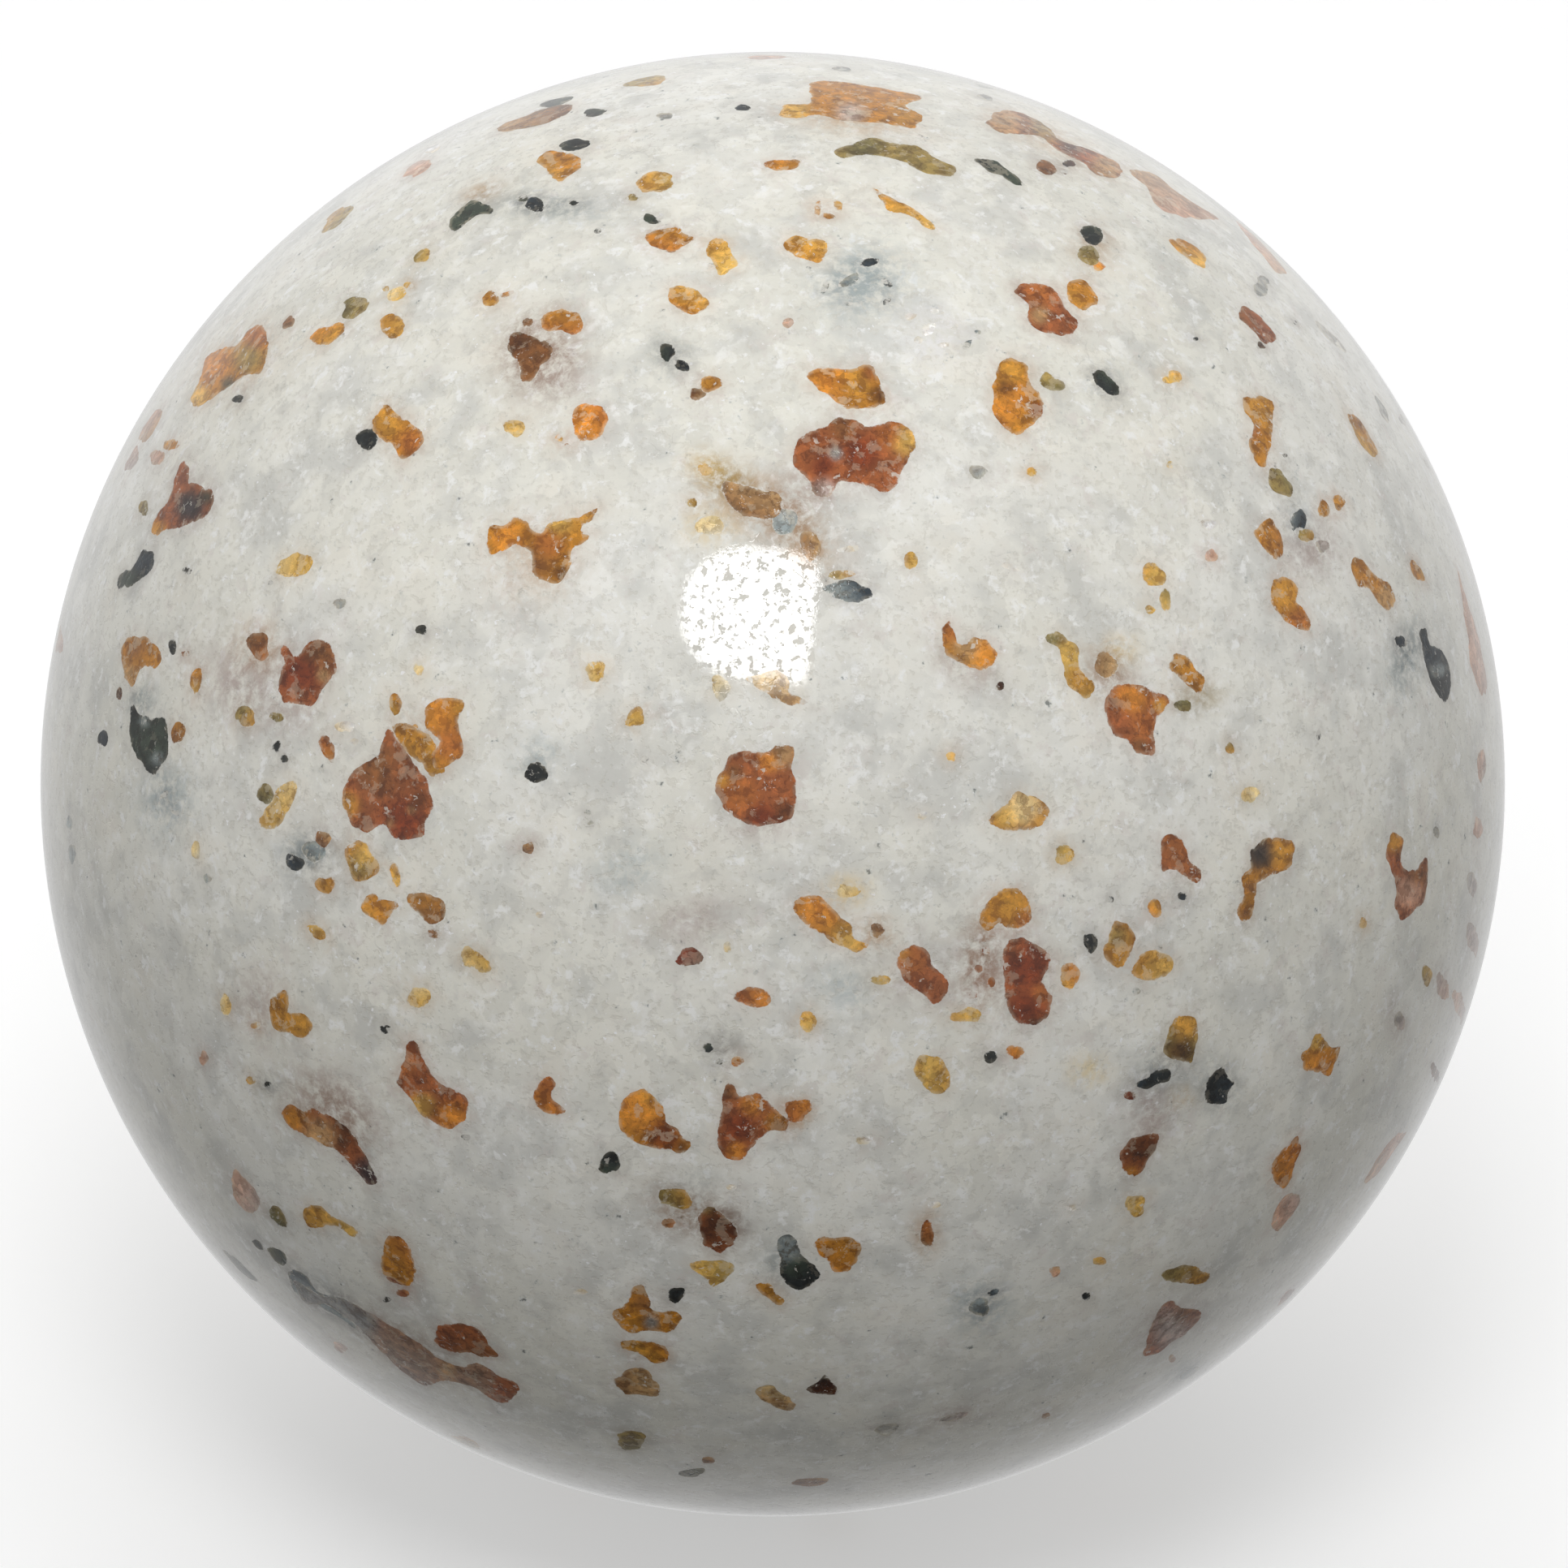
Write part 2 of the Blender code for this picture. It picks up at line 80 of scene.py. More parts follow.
def tangents(direction):
    """Two directions along the surface at a unit direction."""
    side = np.cross((0.0, 0.0, 1.0), direction)
    if np.linalg.norm(side) < 1e-6:
        side = np.array((1.0, 0.0, 0.0))
    side = side / np.linalg.norm(side)
    return side, np.cross(direction, side)


# ---------------------------------------------------------------- colours
# What each tint looks like (sRGB, 0 to 255) in the light at the middle of the face.
# The brightest tint is a painted highlight: flecks painted as bright as cleavage faces that catch the
# light.
TINTS = {
    "white": (250, 250, 246), "marble": (200, 199, 190), "pale": (212, 190, 140),
    "yellow": (199, 160, 84), "gold": (183, 132, 56), "amber": (170, 116, 46), "orange": (197, 128, 52),
    "copper": (165, 100, 52), "rust": (142, 84, 52), "red": (116, 54, 32), "brown": (124, 84, 52),
    "umber": (78, 50, 30), "tan": (172, 138, 96), "taupe": (140, 116, 96), "olive": (142, 122, 72),
    "moss": (104, 98, 66), "green": (62, 70, 60), "black": (44, 47, 47), "ink": (50, 58, 65),
    "steel": (132, 140, 140), "grey": (158, 156, 150), "pink": (188, 150, 128), "mauve": (170, 158, 152),
    "blue": (166, 174, 174),
}
MIDDLE_LIGHT = 0.78       # light that the middle of the face sends back, for a white surface
POLISH_VEIL = 0.014       # what the polish mirrors of the room on top of it


def albedo(tint):
    """Linear colour of a tint, as the surface holds it."""
    value = np.array(TINTS[tint] if isinstance(tint, str) else tint, float) / 255.0
    linear = np.where(value <= 0.04045, value / 12.92, ((value + 0.055) / 1.055) ** 2.4)
    return np.clip((linear - POLISH_VEIL) / MIDDLE_LIGHT, 0.004, 0.93)


# ---------------------------------------------------------------- what is on the face
# Colours inside the larger crystals: tint, place, and how far each reaches.
ZONES = [
    # upper left
    ("orange", -21.7, 16.3, 0.55), ("olive", -20.3, 16.5, 0.5), ("green", -21.1, 15.5, 0.28),
    ("yellow", -22.3, 15.0, 0.4), ("copper", -20.0, 17.4, 0.45), ("black", -22.5, 10.8, 0.5),
    ("ink", -22.55, 10.7, 0.45), ("rust", -22.8, 12.0, 0.4), ("gold", -23.9, 9.8, 0.35),
    ("green", -21.9, 11.1, 0.25), ("gold", -14.9, 14.0, 0.5), ("copper", -13.9, 13.1, 0.45),
    # top
    ("amber", 3.0, 26.9, 0.6), ("mauve", 3.0, 26.0, 0.45), ("yellow", 0.8, 26.1, 0.5),
    ("gold", 5.2, 26.0, 0.5), ("moss", 3.5, 24.6, 0.6), ("olive", 5.8, 24.0, 0.7),
    ("olive", 10.7, 25.6, 0.6), ("umber", 11.6, 24.8, 0.4), ("tan", 9.0, 25.7, 0.6),
    ("tan", 13.0, 23.9, 0.5), ("orange", 2.2, 15.5, 0.7), ("gold", 3.2, 15.5, 0.5),
    ("umber", 4.1, 15.0, 0.35), ("rust", 3.7, 15.8, 0.3), ("yellow", 5.2, 13.2, 0.5),
    ("red", 3.4, 12.7, 0.55), ("steel", 2.4, 12.7, 0.22), ("rust", 1.4, 12.8, 0.6),
    ("red", 1.9, 12.3, 0.4), ("copper", 4.5, 13.4, 0.4), ("brown", 2.7, 13.7, 0.4),
    ("mauve", 2.0, 11.2, 0.4), ("rust", 4.4, 12.0, 0.5),
    # upper right
    ("gold", 9.2, 16.0, 0.45), ("umber", 9.0, 15.25, 0.32), ("orange", 8.8, 14.2, 0.6),
    ("orange", 9.4, 14.9, 0.45), ("red", 10.2, 14.4, 0.3), ("amber", 9.5, 13.7, 0.3),
    ("copper", 10.3, 18.9, 0.5), ("rust", 11.2, 17.8, 0.5), ("tan", 10.3, 18.1, 0.3),
    ("gold", 18.8, 14.5, 0.6), ("amber", 19.0, 13.0, 0.5), ("copper", 18.5, 13.6, 0.3),
    ("gold", 19.7, 7.4, 0.5), ("copper", 20.3, 6.3, 0.4), ("amber", 22.8, 8.2, 0.5),
    ("tan", 23.8, 7.2, 0.4), ("ink", 25.5, 5.2, 0.5), ("steel", 25.8, 4.4, 0.25),
    ("black", 26.0, 3.7, 0.5),
    # left
    ("green", -24.9, 7.9, 0.4), ("ink", -24.3, 8.7, 0.5), ("brown", -24.6, 5.2, 0.4),
    ("amber", -24.2, 4.8, 0.5), ("tan", -24.9, 4.3, 0.3), ("green", -24.1, 1.7, 0.8),
    ("steel", -23.8, 1.0, 0.22), ("steel", -24.3, 2.4, 0.2), ("red", -18.2, 4.2, 0.7),
    ("brown", -17.3, 5.0, 0.5), ("tan", -17.3, 4.2, 0.25), ("rust", -18.3, 3.4, 0.4),
    ("umber", -17.9, 4.9, 0.3), ("brown", -9.2, 8.4, 0.6), ("orange", -10.2, 9.4, 0.55),
    ("yellow", -8.2, 10.1, 0.45), ("gold", -7.2, 10.1, 0.4), ("copper", -8.6, 9.2, 0.5),
    ("umber", -8.2, 8.1, 0.25), ("orange", -12.8, 2.8, 0.6), ("copper", -12.4, 1.6, 0.6),
    ("gold", -12.1, 3.0, 0.3), ("brown", -15.0, 0.6, 0.8), ("red", -14.2, -1.4, 0.7),
    ("gold", -16.4, -0.8, 0.4), ("tan", -13.9, -1.0, 0.16), ("tan", -14.7, -1.5, 0.15),
    ("rust", -14.4, 0.4, 0.6), ("umber", -13.6, -0.6, 0.3), ("olive", -15.9, -3.2, 0.5),
    ("yellow", -15.5, -2.7, 0.5),
    # middle
    ("tan", 0.4, 1.2, 0.45), ("orange", -0.1, 0.9, 0.35), ("red", -0.4, -1.3, 0.5),
    ("copper", -1.3, -0.4, 0.6), ("rust", 0.3, -0.3, 0.6), ("brown", -1.5, 0.4, 0.3),
    ("gold", -1.9, 0.1, 0.25), ("umber", 0.4, -1.0, 0.3), ("copper", 6.9, 6.0, 0.5),
    ("tan", 7.5, 5.3, 0.5), ("orange", 8.2, 5.0, 0.5), ("pale", 9.6, -0.9, 0.6),
    ("yellow", 9.0, -1.2, 0.45), ("brown", 9.5, -1.8, 0.22), ("gold", 10.3, -1.5, 0.3),
    ("orange", 1.6, -4.8, 0.7), ("yellow", 2.9, -6.0, 0.5), ("copper", 5.3, -6.8, 0.5),
    ("rust", 5.9, -7.7, 0.5), ("gold", 5.0, -6.5, 0.25), ("gold", 9.0, -4.6, 0.7),
    ("amber", 8.5, -5.3, 0.5), ("copper", 9.6, -5.2, 0.35), ("red", 9.8, -7.0, 0.8),
    ("red", 9.7, -8.6, 0.6), ("umber", 10.1, -9.2, 0.3), ("rust", 9.3, -6.4, 0.3),
    ("copper", 10.3, -8.0, 0.3),
    # right
    ("moss", 10.7, 5.5, 0.3), ("yellow", 11.3, 5.0, 0.5), ("gold", 11.9, 4.0, 0.6),
    ("orange", 13.8, 3.3, 0.55), ("rust", 13.3, 2.5, 0.5), ("copper", 14.3, 2.3, 0.5),
    ("brown", 14.1, 1.5, 0.3), ("gold", 14.9, 3.0, 0.25), ("black", 18.75, -2.7, 0.5),
    ("ink", 18.7, -2.65, 0.5), ("brown", 18.4, -4.0, 0.2), ("brown", 18.2, -5.0, 0.2),
    ("gold", 19.6, -2.6, 0.4), ("gold", 24.0, -2.2, 0.35), ("pink", 24.6, -4.2, 0.5),
    ("brown", 25.0, -3.6, 0.4), ("olive", 13.2, -5.9, 0.4), ("gold", 13.3, -6.7, 0.6),
    ("gold", 15.9, -9.3, 0.5), ("umber", 15.7, -10.3, 0.5), ("yellow", 21.0, -9.9, 0.35),
    ("orange", 21.2, -10.8, 0.5),
    # lower left
    ("yellow", -13.5, -12.4, 0.4), ("rust", -13.5, -11.2, 0.6), ("orange", -12.3, -12.9, 0.55),
    ("copper", -14.1, -10.8, 0.4), ("amber", -18.5, -12.9, 0.5), ("ink", -15.5, -15.0, 0.6),
    ("tan", -17.5, -13.6, 0.6), ("umber", -16.4, -13.3, 0.6), ("steel", -18.0, -19.7, 0.9),
    ("steel", -16.8, -20.3, 0.8), ("steel", -15.9, -20.9, 0.6), ("green", -18.3, -19.6, 0.4),
    ("taupe", -14.8, -21.8, 0.9), ("taupe", -13.6, -22.5, 0.9), ("tan", -12.6, -22.7, 0.4),
    ("taupe", -11.6, -22.9, 0.8), ("rust", -10.4, -23.4, 0.4),
    # bottom
    ("orange", -5.2, -12.5, 0.8), ("gold", -4.8, -12.0, 0.4), ("red", -4.2, -13.5, 0.6),
    ("umber", -3.5, -14.0, 0.25), ("orange", -0.8, -12.3, 0.35), ("red", -1.3, -13.2, 0.45),
    ("orange", -1.4, -14.1, 0.3), ("brown", -1.6, -11.8, 0.3), ("amber", 0.2, -13.0, 0.4),
    ("umber", -2.0, -16.9, 0.9), ("olive", -2.5, -16.2, 0.3), ("black", 1.2, -19.1, 0.5),
    ("steel", 0.5, -17.9, 0.5), ("green", 0.9, -18.6, 0.4), ("steel", -4.7, -20.75, 0.25),
    ("brown", -5.0, -20.1, 0.45), ("amber", -5.3, -20.6, 0.4),
    # lower right
    ("umber", 14.2, -14.1, 0.6), ("amber", 13.8, -15.1, 0.3), ("mauve", 15.4, -21.0, 0.7),
    ("brown", 15.9, -20.6, 0.4),
]

# Small ovals: tint, place, length, width and, where the long side isn't level, its turn
# (degrees, anticlockwise).
# Ovals of the brightest tint are painted highlights: sparkling cleavage faces made as bright grains.
OVALS = [
    # upper left
    ("gold", -14.7, 17.7, 1.1, 0.9), ("yellow", -14.5, 18.95, 0.7, 0.5, 30),
    ("yellow", -14.1, 19.25, 0.35, 0.3), ("yellow", -14.95, 19.15, 0.3, 0.25),
    ("olive", -16.2, 18.4, 1.1, 0.8, 20), ("gold", -17.2, 17.4, 1.5, 0.7, 30),
    ("brown", -18.75, 17.85, 0.6, 0.4, 45), ("olive", -16.9, 22.0, 1.6, 0.5, 40),
    ("olive", -13.55, 20.45, 0.8, 0.5, 45), ("pink", -13.8, 23.9, 1.2, 0.5, 25),
    ("amber", -10.9, 18.7, 0.7, 0.6), ("amber", -10.25, 18.9, 0.6, 0.22, 15),
    ("yellow", -9.95, 13.7, 0.85, 0.7), ("black", -15.65, 13.3, 0.85, 0.8),
    ("amber", -23.35, 13.15, 0.6, 0.5), ("pink", -23.9, 12.7, 0.7, 0.5),
    ("olive", -24.4, 10.7, 0.4, 0.6), ("pink", -24.2, 13.9, 1.4, 0.5, 58),
    ("mauve", -24.9, 12.6, 1.0, 0.4, 62), ("black", -20.7, 14.9, 0.5, 0.3),
    ("white", -13.2, 24.7, 0.6, 0.35, 20),
    # top
    ("brown", -9.2, 25.85, 2.9, 0.6, 18), ("green", -8.4, 26.5, 1.3, 0.3, 16),
    ("black", -6.9, 26.05, 0.9, 0.35, 10), ("black", -1.2, 26.2, 0.6, 0.3),
    ("grey", -4.2, 25.9, 0.7, 0.3), ("olive", -4.9, 27.3, 1.8, 0.35, 8), ("pink", -0.3, 28.3, 1.5, 0.2),
    ("grey", 8.3, 27.2, 0.8, 0.22, -12), ("grey", 8.2, 26.7, 0.8, 0.22, -12),
    ("grey", 2.7, 27.8, 0.8, 0.2, -5), ("black", -7.7, 24.75, 1.2, 0.45, 12),
    ("yellow", -4.5, 23.25, 1.4, 0.9, 10), ("olive", -5.4, 22.65, 0.5, 0.3),
    ("black", -9.2, 22.4, 0.7, 0.6), ("black", -9.65, 22.65, 0.45, 0.3),
    ("black", -7.7, 22.45, 0.4, 0.2), ("black", -6.75, 21.35, 0.3, 0.2),
    ("black", -4.65, 21.8, 0.7, 0.4, -15), ("amber", 0.4, 23.95, 1.3, 0.45, 5),
    ("black", -4.05, 16.65, 0.7, 0.7), ("black", -3.5, 16.1, 0.7, 0.4, -30),
    ("amber", -2.4, 15.4, 0.9, 0.6, 20), ("brown", -2.9, 15.0, 0.6, 0.5),
    ("orange", -8.2, 13.3, 0.35, 0.25), ("copper", -7.9, 13.0, 0.25, 0.2),
    ("brown", -9.45, 17.8, 0.45, 0.4), ("ink", 3.7, 20.1, 0.8, 0.3, 20),
    ("ink", 4.4, 19.3, 0.5, 0.25, -30), ("steel", 2.0, 19.1, 0.6, 0.3, 70),
    ("steel", 3.0, 19.4, 0.9, 0.4, 35), ("black", 4.4, 18.6, 0.4, 0.18, 40),
    ("steel", 2.9, 18.5, 0.35, 0.18), ("white", 6.0, 17.5, 0.7, 0.4, 30),
    ("white", 5.3, 18.0, 0.5, 0.3, 20), ("white", 6.6, 16.9, 0.5, 0.25),
    ("white", 6.3, 18.2, 0.6, 0.25, -10), ("white", 5.6, 17.1, 0.4, 0.3),
    ("white", 7.0, 17.6, 0.35, 0.2, 40), ("white", 5.9, 16.4, 0.45, 0.2, 10),
    ("white", 9.1, 8.35, 0.7, 0.3, -20), ("white", 2.9, 9.0, 0.9, 0.2, 5),
    ("steel", 7.5, 16.9, 0.5, 0.25, 50), ("steel", 7.9, 17.4, 0.3, 0.18),
    ("pink", 0.6, 17.75, 0.45, 0.4), ("yellow", -2.6, 12.1, 0.6, 0.5, -10),
    ("olive", -3.8, -15.95, 1.5, 0.7, -10), ("steel", 0.45, 10.1, 1.0, 1.2),
    ("pale", -2.4, 9.9, 1.2, 0.7), ("yellow", -3.1, 10.8, 0.45, 0.4), ("grey", 7.9, 12.0, 0.7, 0.6),
    ("amber", 1.75, 22.2, 0.28, 0.75), ("gold", 2.5, 22.35, 0.3, 0.55, 20),
    ("amber", 2.2, 21.9, 0.55, 0.22, -10),
    # upper right
    ("brown", 10.6, 23.9, 0.8, 0.5, -20), ("umber", 11.5, 24.05, 0.5, 0.3),
    ("umber", 11.3, 23.7, 0.3, 0.2), ("black", 12.35, 21.25, 0.9, 0.7, -50),
    ("olive", 12.2, 20.45, 0.8, 0.7), ("orange", 12.6, 20.0, 0.5, 0.45),
    ("amber", 16.2, 20.6, 1.7, 0.6, -35), ("umber", 18.9, 16.95, 0.4, 0.3),
    ("grey", 19.0, 19.3, 0.6, 0.8), ("olive", 10.75, 15.45, 1.1, 0.6, -20),
    ("yellow", 15.4, 15.7, 0.8, 0.5, 10), ("olive", 19.6, 11.6, 1.3, 0.8, -55),
    ("amber", 21.3, 10.6, 0.45, 0.7), ("amber", 21.9, 10.9, 0.45, 0.7), ("ink", 20.3, 10.2, 0.6, 1.0),
    ("olive", 20.6, 9.6, 0.7, 0.5), ("mauve", 21.2, 9.2, 0.6, 0.5), ("pale", 15.3, 12.3, 0.3, 0.3),
    ("yellow", 9.95, 12.0, 0.4, 0.4), ("black", 16.35, 17.2, 0.2, 0.15),
    ("black", 20.3, 17.9, 0.2, 0.15), ("black", 19.8, 12.7, 0.2, 0.15),
    ("grey", 21.65, 17.4, 1.7, 0.25, -45), ("grey", 23.7, 14.55, 1.1, 0.25, -60),
    ("grey", 24.5, 14.2, 0.5, 0.25, -60), ("grey", 25.5, 12.5, 0.5, 0.25, -60),
    # left
    ("black", -22.65, 8.25, 0.38, 0.32), ("yellow", -18.4, 8.4, 1.3, 0.9, 15),
    ("black", -19.35, 7.75, 0.22, 0.18), ("grey", -16.7, 6.95, 0.5, 0.4),
    ("brown", -19.8, 5.35, 0.9, 1.1), ("olive", -20.3, 2.6, 0.9, 0.7), ("olive", -19.1, 2.6, 0.6, 0.4),
    ("moss", -19.5, -0.4, 0.6, 0.9, 20), ("black", -23.2, 5.3, 0.3, 0.7),
    ("brown", -22.7, 5.05, 0.35, 0.3), ("amber", -22.25, 4.0, 0.5, 1.0),
    ("amber", -22.95, 2.0, 0.55, 0.9), ("ink", -25.95, 1.8, 0.4, 0.7), ("umber", -25.3, 3.5, 0.25, 0.5),
    ("black", -19.1, 1.45, 0.35, 0.5), ("black", -18.8, 0.95, 0.3, 0.35),
    ("brown", -17.3, -2.1, 0.6, 0.7), ("copper", -17.15, 1.35, 0.6, 1.1, 20),
    ("amber", -14.5, 3.1, 0.5, 0.8), ("gold", -17.2, -3.85, 0.8, 0.7),
    ("gold", -14.5, -3.5, 0.4, 1.1, 10), ("brown", -13.0, -5.75, 0.6, 0.4),
    ("yellow", -11.4, -6.8, 1.5, 0.7, -35), ("yellow", -13.6, -8.2, 1.0, 0.9),
    ("yellow", -17.55, -5.7, 0.8, 0.45, -30), ("ink", -18.4, -3.0, 0.8, 0.6, -20),
    ("steel", -17.7, -2.6, 0.9, 0.9), ("pale", -22.25, -2.55, 0.4, 0.8),
    ("steel", -21.8, -3.65, 0.3, 0.4), ("pale", -21.15, -8.5, 0.4, 0.9),
    ("amber", -19.95, -9.3, 0.4, 0.35), ("black", -13.5, 5.9, 0.45, 0.4),
    ("black", -14.9, -9.45, 0.42, 0.38), ("brown", -9.4, -2.45, 0.45, 0.55),
    ("pale", -13.6, 4.4, 0.4, 0.5), ("pink", -27.8, 5.6, 0.4, 1.3, 10),
    ("steel", -23.5, -0.4, 0.5, 0.18, 40), ("steel", -23.1, -1.1, 0.4, 0.16, -30),
    ("rust", -14.35, -19.05, 1.1, 0.75), ("blue", -27.2, -2.7, 0.3, 0.7),
    ("blue", -27.3, -1.5, 0.25, 0.6), ("black", -9.05, 0.45, 0.95, 0.8),
    ("gold", -13.75, 2.0, 0.3, 0.7, -10), ("white", -16.5, 2.2, 0.7, 0.5),
    ("white", -16.1, 1.6, 0.4, 0.3),
    # middle
    ("yellow", -6.75, 4.3, 0.85, 0.8), ("yellow", -5.3, 2.55, 1.0, 0.75, 45),
    ("pale", -2.0, 3.7, 0.7, 0.9), ("olive", 2.6, 8.0, 1.0, 0.35, 5), ("tan", 1.45, 9.15, 0.8, 1.1),
    ("yellow", 5.3, 8.6, 0.6, 0.7), ("umber", 8.7, 3.75, 0.4, 0.35), ("red", -3.2, -6.65, 0.95, 0.75),
    ("copper", -0.7, -8.2, 1.25, 0.75), ("yellow", 1.35, -9.1, 0.75, 0.8),
    ("pale", -1.75, -6.25, 0.3, 0.5), ("brown", 4.0, -5.6, 0.6, 0.55), ("pale", 2.9, -4.1, 0.9, 0.5),
    ("yellow", 4.1, -7.5, 0.8, 0.4), ("yellow", 7.4, -8.9, 1.1, 0.6), ("yellow", 6.85, 1.05, 0.4, 0.35),
    ("grey", 5.05, -0.05, 0.35, 0.25), ("grey", -4.9, 0.95, 0.35, 0.25), ("steel", -7.1, -1.1, 0.3, 0.2),
    ("steel", -7.0, -1.5, 0.25, 0.2), ("white", 5.7, -1.2, 0.5, 0.3, 20),
    ("white", -8.9, -5.0, 0.45, 0.3), ("copper", 8.2, -6.4, 0.35, 0.3), ("rust", 7.9, -7.1, 0.4, 0.35),
    ("copper", 8.4, -7.6, 0.3, 0.4), ("rust", 7.7, -8.1, 0.35, 0.25),
    # right
    ("yellow", 14.65, 8.0, 0.9, 1.0), ("olive", 15.1, 7.1, 0.55, 0.8), ("yellow", 14.5, 6.7, 0.4, 0.35),
    ("moss", 15.8, 3.0, 0.7, 0.5), ("tan", 12.8, 4.6, 0.8, 1.1), ("white", 16.8, 10.0, 0.8, 0.35),
    ("ink", 24.3, 5.5, 0.5, 0.5), ("amber", 25.0, 8.2, 1.0, 0.45, -60), ("pink", 27.55, 0.7, 0.4, 1.2),
    ("black", 21.05, 1.9, 0.2, 0.38), ("pale", 18.4, -0.4, 0.8, 0.6), ("yellow", 11.2, -2.7, 0.8, 0.75),
    ("black", 15.75, -4.3, 0.4, 0.35), ("black", 12.2, -6.1, 0.6, 0.8),
    ("black", 12.95, -4.45, 0.32, 0.28), ("gold", 14.7, -4.8, 0.55, 0.75),
    ("steel", 14.0, -7.95, 0.32, 0.28), ("yellow", 22.8, -5.4, 0.35, 0.45),
    ("grey", 25.7, -1.9, 0.25, 0.5), ("pink", 26.0, -7.9, 0.5, 1.1, 12),
    ("olive", 25.35, -7.4, 0.4, 0.8, 10), ("pink", 27.4, -1.7, 0.4, 0.9, 6),
    ("mauve", 27.15, -3.9, 0.4, 1.0, 9), ("mauve", 27.2, -6.0, 0.4, 1.4, 14),
    ("pink", 26.7, -8.6, 0.5, 1.3, 18), ("mauve", 24.3, -9.2, 0.5, 0.8), ("pink", 16.9, 8.8, 0.6, 0.5),
    ("olive", 17.6, 1.4, 0.4, 0.4),
    # lower left
    ("moss", -19.15, -16.75, 1.0, 0.5, -50), ("rust", -14.3, -19.7, 0.5, 0.35),
    ("black", -14.95, -19.95, 0.3, 0.28), ("green", -19.2, -18.3, 0.9, 0.45, -40),
    ("green", -20.0, -17.85, 0.5, 0.3, -40), ("green", -20.7, -18.75, 1.9, 0.25, -42),
    ("yellow", -20.15, -11.45, 0.4, 0.3), ("black", -19.5, -11.6, 0.35, 0.2, 20),
    ("pink", -22.0, -10.6, 0.4, 0.6), ("pink", -16.8, -21.9, 0.6, 0.4, -35),
    ("olive", -11.9, -25.6, 1.2, 0.3, -25), ("black", -11.8, -13.6, 0.35, 0.25),
    # bottom
    ("black", -2.5, -10.15, 0.5, 0.35), ("amber", -1.35, -10.65, 0.5, 0.4),
    ("black", -2.05, -10.65, 0.28, 0.24), ("copper", 1.0, -12.5, 1.0, 1.0),
    ("brown", -4.0, -16.9, 0.5, 0.45), ("black", -3.75, -19.65, 0.68, 0.62),
    ("olive", -5.5, -25.4, 1.3, 0.8), ("green", -3.1, -26.7, 1.0, 0.35, 5),
    ("brown", -2.5, -26.2, 0.5, 0.3), ("brown", 1.4, -27.1, 1.3, 0.4, 4),
    ("grey", 4.4, -25.0, 1.0, 0.5, 10), ("mauve", 7.0, -24.5, 1.2, 0.3, 15),
    ("steel", 8.0, -20.2, 0.9, 0.7, 20), ("ink", 8.5, -19.6, 0.5, 0.25, 20),
    ("black", 8.35, -10.5, 0.5, 0.45), ("orange", 9.3, -10.3, 0.7, 0.55),
    ("brown", 5.95, -17.3, 0.5, 1.1), ("white", 3.5, -13.7, 0.7, 0.4), ("white", -7.4, -19.6, 0.6, 0.3),
    ("white", 6.2, -16.2, 0.5, 0.3), ("white", -1.6, -15.5, 0.4, 0.25),
    # lower right
    ("red", 13.75, -12.0, 0.5, 0.35), ("yellow", 14.0, -16.25, 0.8, 0.9),
    ("olive", 16.0, -19.0, 1.6, 0.8), ("yellow", 12.6, -18.4, 0.6, 0.35),
    ("black", 12.1, -19.8, 0.35, 0.32), ("pink", 10.9, -18.8, 0.42, 0.4),
    ("steel", 16.2, -22.9, 0.8, 0.35, 30), ("pink", 15.5, -22.3, 0.32, 0.3),
    ("pink", 23.85, -14.4, 2.4, 0.45, 52), ("brown", 25.8, -11.3, 0.3, 1.0, 20),
    ("brown", 20.0, -19.9, 0.9, 0.25, 45), ("brown", 10.6, -24.5, 0.35, 0.3),
    ("white", 11.5, -16.3, 0.5, 0.3),
]

